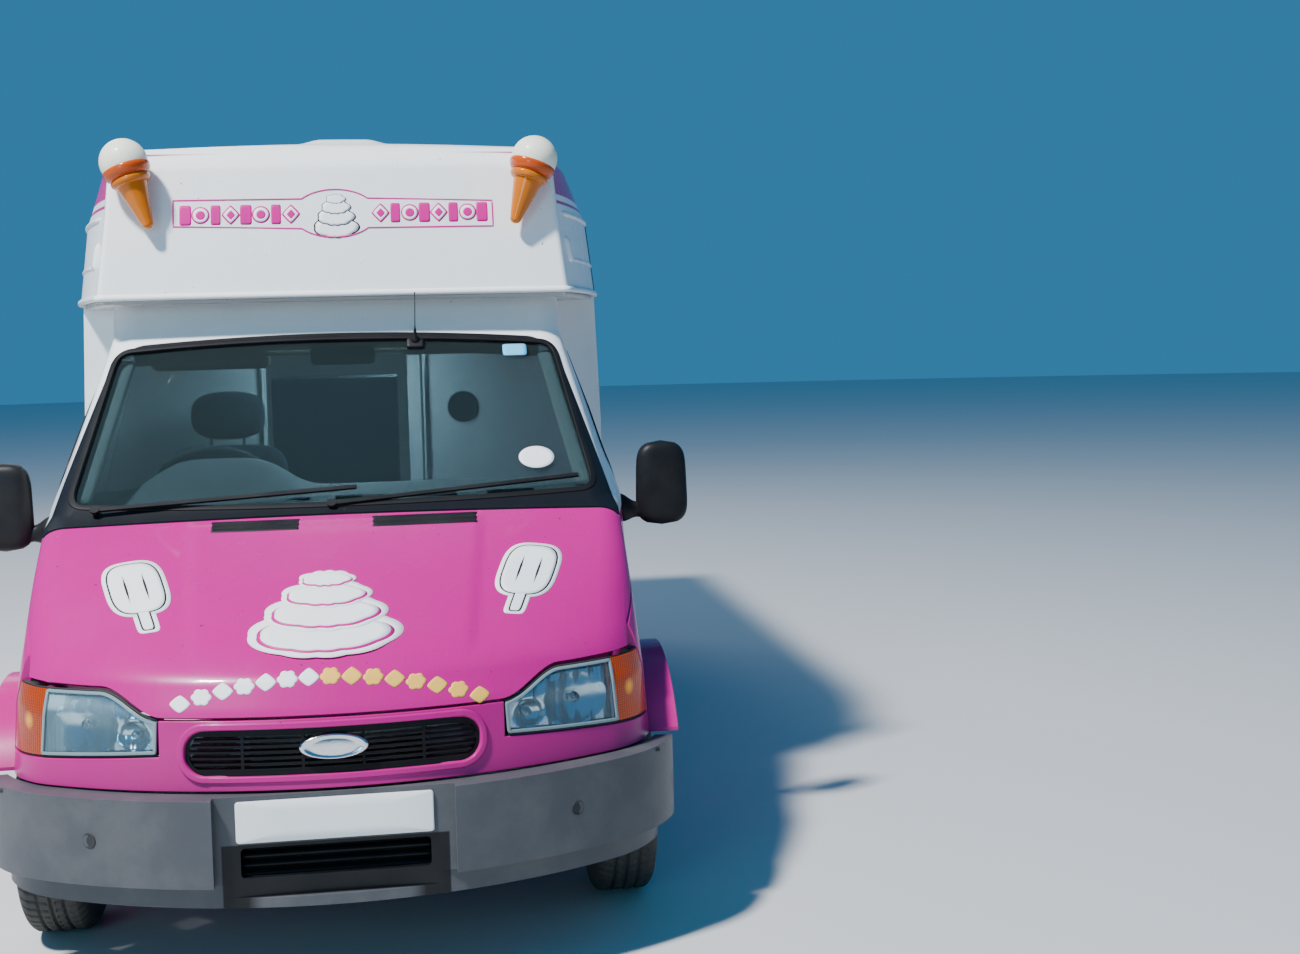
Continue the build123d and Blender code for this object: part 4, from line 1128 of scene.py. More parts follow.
@dataclass
class LampUnit:
    """One headlamp: housing, fluted bowl with two bulbs, edge, clear lens and orange indicator.

    Args:
        side: The side of the van.
        inner: The |x| of its inner end.
        split: The |x| where the indicator starts.
        main: The |x| and z of the main bulb.
        small: The |x| and z of the small bulb.
    """

    side: Side
    inner: float = 470.0
    split: float = 790.0
    main: tuple = (668.0, 738.0)
    small: tuple = (532.0, 718.0)

    def top(self, x: Array) -> Array:
        """Returns the height of the lamp's top edge."""
        return 762 + 72 * step(np.abs(x), 544, 168)

    def bottom(self, x: Array) -> Array:
        """Returns the height of the lamp's lower edge."""
        return 671 - (np.abs(x) - 466) * 28 / 494

    def span(self, x_from: float, x_to: float | None, count: int) -> Array:
        """Returns signed parameters from x_from to x_to, or to the lamp's outer end."""
        fine = np.linspace(0, 2.2, 900)
        p = CAB.at(fine, np.full((1, 900), 740.0))[0]
        start = np.interp(x_from, p[:, 0], fine)
        stop = np.interp(x_to, p[:, 0], fine) if x_to else np.interp(442.0, p[:, 1], fine)
        s = np.linspace(start, stop, count)
        return s if self.side is Side.LEFT else -s[::-1]

    def face(self, s: Array, rows: int, inset: float, sink: float) -> Array:
        """Returns a grid of the lamp's face, inset from its edges and sunk by sink mm."""
        low = CAB.solve(s, lambda x, y, z: z - self.bottom(x) - inset, 560, 900)
        high = CAB.solve(s, lambda x, y, z: z - self.top(x) + inset, 600, 900)
        p = CAB.patch(s, low, high, rows)
        return p - normals(p) * sink

    def build(self) -> None:
        """Makes the housing, bowl, edge, lens and indicator."""
        word = self.side.word
        whole = self.span(self.inner, None, 60)
        rim = self.face(whole, 14, 1.0, 5.0)
        shell = np.concatenate([rim[:1], self.face(whole, 14, 1.0, 46.0), rim[-1:]], 0)
        sheet("lamp_housing_" + word, shell, 4, DARK_TRIM, replaces=["lamp_" + word])
        self.bowl(word)
        self.rim(word)
        lens = self.face(self.span(self.inner + 1, self.split - 2, 50), 18, 2.0, 2.0)
        sheet("lamp_lens_" + word, lens, 4, LAMP_CLEAR, edge=(1.4, 2, 40))
        amber = self.face(self.span(self.split + 1, None, 26), 18, 2.0, 2.0)
        sheet("indicator_lens_" + word, amber, 22, INDICATOR, edge=(2.0, 3, 40))

    def bowl(self, word: str) -> None:
        """Makes the fluted plate sunk behind the lens, with two bowls pressed in it, and the bulbs."""
        p = self.face(self.span(self.inner + 2, self.split - 3, 70), 40, 3.0, 14.0)
        x, z = np.abs(p[..., 0]), p[..., 2]
        away = np.sqrt(((x - self.main[0]) / 96) ** 2 + ((z - self.main[1]) / 72) ** 2)
        near = np.sqrt(((x - self.small[0]) / 44) ** 2 + ((z - self.small[1]) / 38) ** 2)
        bowls = np.maximum(np.clip(1 - away ** 2, 0, 1) * 26, np.clip(1 - near ** 2, 0, 1) * 18)
        flutes = np.abs(np.sin((x - self.main[0]) / 21 * np.pi / 2)) * np.clip(away * 1.6 - 0.5, 0, 1)
        p[..., 1] += bowls + 4.5 * flutes
        sheet("lamp_reflector_" + word, p, 2, BOWL)
        bulb = np.array([(15, -2), (15, 3), (9, 6), (8, 18), (7, 22), (4, 25), (0.5, 26)])
        for tag, at, deep, size in (("main", self.main, 40.0, 1.0), ("side", self.small, 31.0, 0.6)):
            base = CAB.skin(*np.array(at)[:, None])[0] + (0, deep, 0)
            flip = (self.side.value, 1, 1)
            lathe(f"lamp_bulb_{tag}_{word}", base * flip, (0, -1, 0), bulb * size, BRIGHT_STEEL, 24)

    def rim(self, word: str) -> None:
        """Makes the edge round the clear lens: its side wall, in an opaque bluish grey that paints its
        glint as a painted highlight.
        """
        p = self.face(self.span(self.inner + 1, self.split - 2, 60), 20, 7.5, -1.2)
        both = np.concatenate([p, normals(p)], -1)
        loop = np.concatenate([both[0], both[1:-1, -1], both[-1, ::-1], both[-2:0:-1, 0]])
        section = box_profile(-8, 1.0, 4.6, 1.6, 2)
        sweep("lamp_rim_" + word, loop[:, :3], loop[:, 3:], section, LAMP_EDGE_GLINT, True)


@dataclass
class Nose:
    """The nose panel, the grille, its moulded surround and its bare oval badge.

    Args:
        grille: Height of the grille's middle, and its half width and half height.
        badge: The badge's x, y and z, and its half width and half height.
    """

    grille: tuple = (676.0, 398.0, 65.0)
    badge: tuple = (2.0, 44.0, 688.0, 92.0, 34.0)

    def build(self) -> None:
        """Makes the nose pieces. The badge is a low dome inside a raised edge."""
        refit("nose_panel", PINK_PAINT, 5.0, segments=3)
        refit("grille", GRILLE_PLASTIC, 1.2)
        middle, half_x, half_z = self.grille
        loop = rounded_loop(half_x + 5, half_z + 5, 65, 12)
        x, z = loop[:, 0], loop[:, 1] + middle
        section = box_profile(-14, 7.0, 10.5, 6.0, 5)
        sweep("grille_surround", CAB.skin(x, z), CAB.outward(x, z), section, PINK_PAINT, True)
        a = turns(48)[None]
        r = np.array([0.02, 0.35, 0.62, 0.80, 0.84, 0.90, 0.97, 1.0, 1.0])[:, None]
        lift = np.array([9, 8.6, 7.6, 6.2, 8.2, 9.2, 7.5, 3.0, -12.0])[:, None]
        at_x, at_y, at_z, wide, high = self.badge
        x, z = wide * r * np.cos(a) + at_x, at_z + high * r * np.sin(a)
        fit(tube("badge_blank", np.stack([x, at_y - lift + 0 * a, z], -1)[::-1]), REFLECTOR)


@dataclass
class Bumper:
    """The wrap-round front bumper with its recessed middle and lower opening.

    Args:
        opening: Half width, foot and head of the opening's slats.
    """

    opening: tuple = (262.0, 338.0, 438.0)

    @staticmethod
    def bow(x: Array) -> Array:
        """Returns how far the bumper's curve stands before its corners at |x| = 790 mm."""
        return 224 * (1 - (np.abs(x) / 790) ** 2)

    def build(self) -> None:
        """Makes the bumper, the dark shelf behind its top, which stands for the bumper's top return and
        paints the shade in the gap under the nose, and the slats in its opening.
        """
        refit("front_bumper", BUMPER_PLASTIC, 7.0, segments=3)
        x = np.linspace(-900, 900, 91)
        y = 215 - self.bow(x) - np.maximum(np.abs(x) - 790, 0) * 0.3
        path = np.stack([x, y + 100, np.full(len(x), 560.0)], 1)
        # The shelf stands for the bumper's top return, and its dark colour paints the shade in the gap
        # under the nose.
        sweep("bumper_shelf", path, (0, 0, 1), box_profile(-6, 4, 55, 3, 2), DARK_TRIM)
        half, foot, head = self.opening
        z, x = np.meshgrid(np.linspace(foot, head, 61), np.linspace(-half, half, 24), indexing="ij")
        y = 78 - 20 * np.abs(np.sin((z - foot) / (head - foot) * np.pi * 4)) ** 0.6
        sheet("lower_grille", np.stack([x, y, z], -1), 8, GRILLE_PLASTIC)


# ---------------------------------------------------------------- screen and cab


@dataclass
class Screen:
    """The windscreen, its seal and the wipers.

    Args:
        foot: Half width of the foot, its height in the middle and at its ends.
        head: The same of the head.
    """

    foot: tuple = (830.0, 1256.0, 1276.0)
    head: tuple = (748.0, 1786.0, 1752.0)

    def outline(self, shrink: float) -> Array:
        """Returns the screen's (x, z) loop: two parabolas joined by rounded corners."""
        t = np.linspace(-0.93, 0.93, 41)
        low_x, low, low_end = self.foot
        high_x, high, high_end = self.head
        foot = np.stack([low_x * t, low + (low_end - low) * t ** 2], 1)
        head = np.stack([-high_x * t, high + (high_end - high) * t ** 2], 1)
        a = np.linspace(0, 1, 9)[1:-1, None]

        def bend(p: Array, corner: Array, q: Array) -> Array:
            """Returns a quadratic curve from p to q, pulled to corner."""
            return (1 - a) ** 2 * p + 2 * a * (1 - a) * corner + a ** 2 * q

        right_low, right_high = np.array([low_x - 2, low_end]), np.array([high_x, high_end])
        run = right_high - right_low
        side_a, side_b = right_low + run * 0.11, right_low + run * 0.89
        flip = np.array([-1.0, 1.0])
        loop = np.concatenate([
            foot, bend(foot[-1], right_low, side_a), side_a[None],
            side_b[None], bend(side_b, right_high, head[0]),
            head, bend(head[-1], right_high * flip, side_b * flip), (side_b * flip)[None],
            (side_a * flip)[None], bend(side_a * flip, right_low * flip, foot[0]),
        ])
        away = loop - loop.mean(0)
        return loop - away / np.linalg.norm(away, axis=1, keepdims=True) * shrink

    def build(self) -> None:
        """Makes the glass, seal and wipers."""
        refit("windscreen", SCREEN_GLASS, 0.0, 40)
        x, z = self.outline(2.0).T
        section = box_profile(-10, 3.5, 11, 3.2, 4)
        sweep("screen_seal", CAB.skin(x, z), CAB.outward(x, z), section, RUBBER, True)
        refit("wipers", BLACK_PLASTIC, 1.0)


@dataclass
class Cones:
    """One of the two ornamental ice creams on the front corners of the moulding.

    Args:
        side: The side of the van.
        ball: Middle of the scoop.
        tip: Point of the cone.
        collar: The collar's section: radius, and distance from the scoop's middle.
        ring: The same of the wafer's ring under it.
    """

    side: Side
    ball: tuple = (701.0, 1483.0, 2398.0)
    tip: tuple = (627.0, 1460.0, 2187.0)
    collar: tuple = (
        (50, 14), (74, 16), (80, 20), (82, 26), (81, 34), (77, 44), (72, 52), (66, 57), (50, 58))
    ring: tuple = ((48, 55), (60, 56), (66, 59), (68, 65), (67, 72), (62, 80), (56, 84), (48, 85))

    def build(self) -> None:
        """Makes the scoop, collar, ring and cone, turned about one leaning axis."""
        flip = np.array([self.side.value, 1.0, 1.0])
        ball, tip = np.array(self.ball) * flip, np.array(self.tip) * flip
        length = float(np.linalg.norm(tip - ball))
        word = self.side.word
        a = np.linspace(0.05, 2.1, 20)
        scoop = np.concatenate([np.stack([81 * np.sin(a), -81 * np.cos(a)], 1), [[50, 46]]])
        t = np.linspace(0, 1, 14)
        cone = np.stack([53 * (1 - t) + 20 * t, 76 + (length - 76) * t], 1)
        nose = np.linspace(0.2, np.pi / 2 - 0.05, 6)
        end = np.stack([20 * np.cos(nose), length + 18 * np.sin(nose)], 1)
        for part, profile, finish, replaces in (
            ("scoop", scoop, CONE_CREAM, ["cone_" + word]), ("collar", self.collar, CONE_SHADED_ORANGE, ()),
            ("ring", self.ring, CONE_ORANGE, ()),
            ("body", np.concatenate([[[30, 74]], cone, end]), CONE_ORANGE, ()),
        ):
            axis = (tip - ball) / length
            lathe(f"cone_{part}_{word}", ball, axis, profile, finish, replaces=replaces)


@dataclass
class Plain:
    """CAD panels that keep their shape and get rounded edges and a finish.

    Args:
        table: Finish, size of the rounded edges in mm, and the CAD nodes.
    """

    table: tuple = (
        (CHASSIS, 3.0, "chassis_frame front_subframe"),
        (CHASSIS, 2.0, "rear_axle"),
        (CASTING, 6.0, "engine_block"),
        (CAB_PAINT, 3.0, "cab_shell"),
        (PINK_PAINT, 3.0, "wing_left wing_right"),
        (FLOOR, 1.0, "body_floor"),
        (WAIST_PAINT, 2.5, "body_side_left body_side_right body_rear body_bulkhead"),
        (SIDE_GLASS, 0.0, "serving_window"),
        (STAINLESS, 3.0, "serving_counter"),
        # The machine's dark navy is painted shade for the dim inside behind the cab.
        (NAVY, 5.0, "ice_cream_machine"),
        (BUMPER_PLASTIC, 5.0, "rear_bumper"),
        (REAR_RED, 2.0, "rear_lamp_left rear_lamp_right"),
        (WAIST_PAINT, 2.5, "door_left door_right"),
        (SIDE_GLASS, 0.0, "door_glass_left door_glass_right"),
        (CHASSIS, 1.5, "knuckle_left knuckle_right"),
        (WHEEL_RIM, 1.0, "steering_wheel"),
        (WHEEL_STEEL, 2.0, "rim_front_left rim_front_right rim_rear_left rim_rear_right"),
    )

    def build(self) -> None:
        """Makes every panel of the table."""
        for finish, width, nodes in self.table:
            for node in nodes.split():
                refit(node, finish, width)


# ---------------------------------------------------------------- moulding, signs and lamps on it


@dataclass
class Moulding:
    """The over-cab moulding and roof: a rolled foot, side beads, a crown and a soffit.

    Args:
        centre_y: The y that the crown shrinks to.
        shoulder: Height of the wall's top.
        foot: Height of the wall's foot.
        beads: Height, half width, standing out and least y of each half-round bead.
        lamp: The y and z of the marker lamps, and their half length, half height and depth.
    """

    centre_y: float = 3600.0
    shoulder: float = 2456.0
    foot: float = 1925.0
    beads: tuple = ((1936.5, 11.5, 12.0, 0.0), (2214.5, 8.5, 9.0, 1620.0), (2048.0, 7.0, 5.0, 1620.0))
    lamp: tuple = (1580.0, 2084.0, 24.0, 47.0, 12.0)

    def loop(self) -> Array:
        """Returns the parameters once round the outline, closer together at its corners."""
        half = np.concatenate([
            np.linspace(0, 1, 34)[:-1], np.linspace(1, 2, 10)[:-1], np.linspace(2, 3, 22)[:-1],
            np.linspace(3, 3.97, 40), np.linspace(3.985, 4, 4)[:-1], np.linspace(4, 5, 20),
        ])
        return np.concatenate([-half[::-1][:-1], half[:-1]])

    def wall(self) -> Array:
        """Returns the wall's grid: the form plus half-round beads, h sqrt(1 - ((z - c) / w)^2)."""
        s = self.loop()
        levels = [np.linspace(c - w, c + w, 9) for c, w, _, _ in self.beads]
        z = np.unique(np.concatenate([np.linspace(self.foot, self.shoulder, 46)] + levels))
        p = ROOF.at(s, np.tile(z[:, None], (1, len(s))))
        n = normals(p)
        n[..., 2] = 0
        n /= np.linalg.norm(n, axis=-1, keepdims=True)
        out = np.zeros(p.shape[:2])
        for centre, width, height, start in self.beads:
            bead = height * np.sqrt(np.clip(1 - ((p[..., 2] - centre) / width) ** 2, 0, 1))
            out = np.maximum(out, bead * step(p[..., 1], start, 24))
        return p + n * out[..., None]

    def crown(self, edge: Array) -> Array:
        """Returns the roof's grid over the shoulder: outlines shrunk to the middle.

        Height is shoulder + (c(x) - shoulder)(1 - k^40) for the shrink k, where c falls by 20 mm
        towards |x| = 650 and rises by 22 mm over the raised middle strip.
        """
        k = (1 - np.linspace(0.03, 1, 34) ** 2)[:, None]
        x = edge[None, :, 0] * k
        y = self.centre_y + (edge[None, :, 1] - self.centre_y) * k
        hump = (1 - step(np.abs(x - 30), 135, 110)) * step(y, 1755, 70) * (1 - step(y, 5385, 70))
        top = 2488 - 20 * (x / 650) ** 2 + 22 * hump
        return np.stack([x, y, self.shoulder + (top - self.shoulder) * (1 - k ** 40)], -1)

    def soffit(self) -> None:
        """Makes the panel under the overhang, shrunk from the foot to the cab's rear, its white greyed
        as painted shade.
        """
        edge = ROOF.at(np.linspace(-3, 3, 91), np.full((1, 91), self.foot + 1))[0]
        k = np.linspace(0.985, 0.0, 10)[:, None]
        x, y = edge[None, :, 0] * k, BODY_START + (edge[None, :, 1] - BODY_START) * k
        piece = grid("moulding_soffit", np.stack([x, y, np.full(x.shape, self.foot + 5)], -1)[::-1])
        fit(thicken(tidy_mesh(piece, 2e-4, False), 16, 1.0), SOFFIT_PAINT)

    def seam(self, side: Side) -> None:
        """Makes the dark joint strip down the moulding's side, from the bead to the foot."""
        s = np.full(1, 3.0) * side.value
        path = np.concatenate([ROOF.at(s, np.full((1, 1), z))[0] for z in np.linspace(1950, 2205, 30)])
        section = box_profile(-6, 2.6, 6, 2.0)
        sweep("moulding_seam_" + side.word, path, (side.value, 0, 0), section, RUBBER)

    def marker(self, side: Side) -> None:
        """Makes a white oblong marker lamp on the side, near the front crease."""
        at_y, at_z, half_y, half_z, depth = self.lamp
        u, k = turns(40)[None], np.linspace(1, 0.02, 9)[:, None]
        y, z = half_y * signed(np.cos(u), 0.5) * k, half_z * signed(np.sin(u), 0.4) * k
        p = ROOF.flank(at_y + y, at_z + z, side)
        p[..., 0] += side.value * (depth * (1 - k ** 6))
        rim = p[:1] - (side.value * 8, 0, 0)
        fit(tube("marker_lamp_" + side.word, np.concatenate([rim, p], 0)), MARKER)

    def build(self) -> None:
        """Makes the shell, the soffit, the seams and the marker lamps."""
        wall = self.wall()
        points = np.concatenate([wall, self.crown(wall[-1])], 0)
        shell = grid("roof_moulding_shell", points, close_cols=True)
        tidy_mesh(shell, 2e-4).data.set_sharp_from_angle(angle=math.radians(38))
        fit(thicken(shell, 30), MOULDING_PAINT, replaces=["roof_moulding"])
        self.soffit()
        for side in Side:
            self.seam(side)
            self.marker(side)


@dataclass(frozen=True)
class Ground:
    """A front skin that carries stickers.

    Args:
        form: The form whose skin it is.
        slope: How much height a mm along the skin makes.
        body: The body that its stickers ride on.
    """

    form: LevelForm
    slope: float
    body: Body

    def emblem(
        self, name: str, centre: tuple, radius: Radius, lift: float, finish: Finish,
        turn: float = 0.0, rings: int = 8, count: int = 96
    ) -> None:
        """Makes a thin sticker that lies on the skin.

        A point is centre + k r(a) (cos(a + turn), slope sin(a + turn)) in x and z, for k from 0
        to 1 and angles a all round, moved out along the skin's normal by lift.

        Args:
            name: Piece name.
            centre: Its (x, z) place.
            radius: Radius over the angle, in mm along the skin.
            lift: How far it stands out.
            finish: Its finish.
            turn: How far it is turned, in radians.
            rings: Rows from its middle to its edge.
            count: Points round it.
        """
        a, k = turns(count)[None], np.linspace(1, 0.0, rings)[:, None]
        x = centre[0] + k * radius(a) * np.cos(a + turn)
        z = centre[1] + k * radius(a) * np.sin(a + turn) * self.slope
        p = self.form.skin(x, z) + self.form.outward(x, z) * lift
        piece = tidy_mesh(grid(name, p, close_cols=True), 2e-5, False)
        fit(thicken(piece, 0.5), finish, self.body)


def oblong(half_x: float, half_z: float, power: float = 5.0) -> Radius:
    """Returns the radius of a rounded oblong: (|cos/hx|^n + |sin/hz|^n)^(-1/n)."""
    return lambda a: (
        np.abs(np.cos(a) / half_x) ** power + np.abs(np.sin(a) / half_z) ** power) ** (-1 / power)


def scallop(mean: float, depth: float = 0.0, lobes: int = 2, squash: float = 1.0) -> Radius:
    """Returns the radius of a lobed disc: mean + depth |cos(lobes a / 2)|, squashed in height."""
    return lambda a: (mean + depth * np.abs(np.cos(lobes * a / 2))) / np.sqrt(
        np.cos(a) ** 2 + (np.sin(a) / squash) ** 2)


@dataclass
class Signs:
    """Generic stickers: ice lollies, a swirl, a ribbon of sweets and a framed row of shapes.

    Args:
        bonnet: The bonnet's sloping skin.
        bonnet_front: The bonnet's steeper skin over the shut line.
        glass: The windscreen.
        face: The moulding's front.
        frame: Half length and half height of the sign's frame, and the same of the arch in its
            middle.
        plates: Name, y, direction that it faces, height and finish of the number plates.
    """

    bonnet: Ground = Ground(CAB, 0.43, Body.BONNET)
    bonnet_front: Ground = Ground(CAB, 0.75, Body.BONNET)
    glass: Ground = Ground(CAB, 0.66, Body.VAN)
    face: Ground = Ground(ROOF, 0.97, Body.VAN)
    frame: tuple = (549.0, 52.5, 144.0, 85.0)
    plates: tuple = (("front", 31.5, -1, 501.0, PLATE), ("rear", 5581.0, 1, 640.0, PLATE_REAR))

    def lolly(self, name: str, x: float, z: float, turn: float) -> None:
        """Makes a white sticker with a drawn ice lolly."""
        up = np.array([math.cos(turn + math.pi / 2), math.sin(turn + math.pi / 2)])
        slope = self.bonnet.slope
        lower = (x - up[0] * 158, z - up[1] * 158 * slope)
        middle = (x + up[0] * 12, z + up[1] * 12 * slope)
        for tag, at, shape, lift, finish in (
            ("stick_edge", lower, oblong(33, 74, 6), 0.5, STICKER_WHITE),
            ("edge", middle, oblong(92, 152, 3.2), 0.7, STICKER_WHITE),
            ("stick_line", lower, oblong(20, 62, 6), 0.9, STICKER_INK),
            ("line", middle, oblong(80, 140, 3.2), 1.0, STICKER_INK),
            ("stick", lower, oblong(15, 57, 6), 1.3, STICKER_WHITE),
            ("bar", middle, oblong(75, 135, 3.2), 1.4, STICKER_WHITE),
        ):
            self.bonnet.emblem(f"lolly_{tag}_{name}", at, shape, lift, finish, turn)
        for i, offset in enumerate((-28, 28)):
            at = (middle[0] + math.cos(turn) * offset, middle[1] + math.sin(turn) * offset * slope)
            groove = oblong(3.4, 78, 8)
            self.bonnet.emblem(f"lolly_groove_{i}_{name}", at, groove, 1.8, STICKER_INK, turn, 4, 40)

    def swirl(self) -> None:
        """Makes the white whipped swirl in the middle of the bonnet."""
        for i, (z, size) in enumerate(((950, 1.32), (994, 1.06), (1034, 0.78), (1068, 0.48))):
            for tag, drop, shape, lift, finish in (
                ("edge", 0, scallop(158 * size, 10, 9, 0.55), 0.6, STICKER_WHITE),
                ("line", 3, scallop(140 * size, 9, 9, 0.46), 0.8, STICKER_PINK),
                ("fill", 0, scallop(132 * size, 9, 9, 0.46), 1.0, STICKER_WHITE),
            ):
                lift = Bonnet.rise + lift + i * 0.5
                self.bonnet.emblem(f"swirl_{tag}_{i}", (-23, z - drop), shape, lift, finish)

    def ribbon(self) -> None:
        """Makes the arc of sweets over the shut line, white on the right and gold on the left."""
        for i, x in enumerate(np.linspace(-404, 396, 15)):
            z = 862 - 66 * ((x + 30) / 400) ** 2
            finish = STICKER_WHITE if x < -10 else STICKER_GOLD
            shape = scallop(23, 5, 6) if i % 2 else oblong(28, 28, 1.25)
            self.bonnet_front.emblem(f"sweet_{i}", (x, z), shape, 0.7, finish, 0.0, 5, 48)

    def outline(self) -> None:
        """Makes the pink line round the sign: an oblong with an arch over and under its middle."""
        half_x, half_z, arch_x, arch_z = self.frame
        join = math.asin(half_z / arch_z)
        arc = np.linspace(join, np.pi - join, 40)
        arch = np.stack([arch_x * np.cos(arc), arch_z * np.sin(arc)], 1)
        top = np.linspace(arch[-1], (-half_x, half_z), 30)[1:]
        end = np.linspace((-half_x, half_z), (-half_x, -half_z), 9)[1:-1]
        half = np.concatenate([arch, top, end])
        x, z = (np.concatenate([half, -half]) + (0, 2218)).T
        section = box_profile(-1.5, 2.4, 2.4, 0.6, 1)
        sweep("sign_frame", ROOF.skin(x, z), ROOF.outward(x, z), section, STICKER_PINK, True)

    def band(self) -> None:
        """Makes the row of pink shapes in the sign, mirrored about a swirl in its middle."""
        shapes = (oblong(20, 36, 9), scallop(31), oblong(17, 36, 9), oblong(32, 36, 1.1))
        insides = {1: (scallop(25.5), scallop(16)), 3: (oblong(25, 28.5, 1.1), oblong(15, 17, 1.1))}
        for i, x in enumerate(np.concatenate([np.linspace(-508, -150, 8), np.linspace(158, 512, 8)])):
            kind = (i if x < 0 else 15 - i) % 4
            layers = [("shape", shapes[kind], 0.7, STICKER_PINK)]
            if kind in insides:
                ring, core = insides[kind]
                layers += [("ring", ring, 1.0, STICKER_WHITE), ("core", core, 1.3, STICKER_PINK)]
            for tag, shape, lift, finish in layers:
                self.face.emblem(f"sign_{tag}_{i}", (x, 2217), shape, lift, finish, 0.0, 5, 56)
        for i, (z, size) in enumerate(((2168, 1.12), (2205, 0.92), (2239, 0.70), (2268, 0.45))):
            for tag, shape, lift, finish in (
                ("swirl_line", scallop(68 * size, 6, 9, 0.5), 0.6, STICKER_INK),
                ("swirl", scallop(63 * size, 6, 9, 0.48), 0.8, STICKER_WHITE),
            ):
                self.face.emblem(f"sign_{tag}_{i}", (4, z), shape, lift + i * 0.4, finish, 0.0, 5, 90)

    def build(self) -> None:
        """Makes every sticker, the screen's disc and label, and the blank plates."""
        self.lolly("right", -566, 1062, 0.26)
        self.lolly("left", 568, 1064, -0.26)
        self.swirl()
        self.ribbon()
        self.outline()
        self.band()
        disc, label = oblong(58, 50, 2.0), oblong(42, 30, 9)
        self.glass.emblem("screen_disc", (640, 1372), disc, 4.0, STICKER_WHITE, 0.0, 5, 48)
        self.glass.emblem("screen_label", (606, 1724), label, 4.0, STICKER_BLUE, 0.0, 4, 40)
        for name, y, facing, z, finish in self.plates:
            layers = ((1.0, 0.0), (1.0, 5.0), (0.994, 7.0), (0.985, 7.5), (0.5, 7.5), (0.0, 7.5))
            layers = [(scale, facing * out) for scale, out in layers]
            board("plate_blank_" + name, rounded_loop(260, 55.5, 8, 4), layers, (0, y, z), finish)


# ---------------------------------------------------------------- mirrors, wheels and fittings


@dataclass
class Mirror:
    """A door mirror: rounded head, glass and a thick tapering arm.

    Args:
        side: The side of the van.
        centre: Middle of the head.
        half: Half sizes of the head.
        arm: The |x| of its root, its reach, its half sizes over y and z, and its height.
    """

    side: Side
    centre: tuple = (1090.0, 1262.0, 1254.0)
    half: tuple = (88.0, 42.0, 146.0)
    arm: tuple = (946.0, 112.0, 27.0, 38.0, 1172.0)

    def build(self) -> None:
        """Makes the head of stacked superellipses with a flat back, the arm and the glass."""
        word, door, side = self.side.word, "door_" + self.side.word, self.side.value
        cx, cy, cz = self.centre
        t, u = np.linspace(-1, 1, 34)[:, None], turns(56)[None]
        size = np.maximum((1 - np.abs(t) ** 5.5) ** 0.42, 0.02)
        x = cx + self.half[0] * size * (1 - 0.05 * t) * signed(np.cos(u), 0.55)
        y = cy + self.half[1] * size * signed(np.sin(u), 0.75)
        y = np.where(y > cy + 30, cy + 30 + (y - cy - 30) * 0.35, y)
        head = np.stack([x * side, y, cz + self.half[2] * t + 0 * u], -1)
        fit(tube("mirror_head_" + word, head), BLACK_PLASTIC, door, ["mirror_" + word])
        root, reach, half_y, half_z, height = self.arm
        run = np.linspace(0, 1, 22)[:, None]
        grow = 1 + 0.28 * np.cos(run * 2 * np.pi)
        ring = ring_profile(1.0, 28)
        arm = np.stack([
            (root + reach * run) * side + 0 * ring[:, 0], cy + ring[:, 0] * half_y * grow,
            height - 8 * np.sin(run * np.pi) + ring[:, 1] * half_z * grow,
        ], -1)
        fit(tube("mirror_arm_" + word, arm), BLACK_PLASTIC, door)
        layers = ((1.0, 30.0), (1.0, 35.5), (0.98, 36.6), (0.5, 36.6), (0.0, 36.6))
        loop = rounded_loop(70, 124, 30)
        board("mirror_glass_" + word, loop, layers, (cx, cy, cz + 2), SILVERED, door, mirror=side)


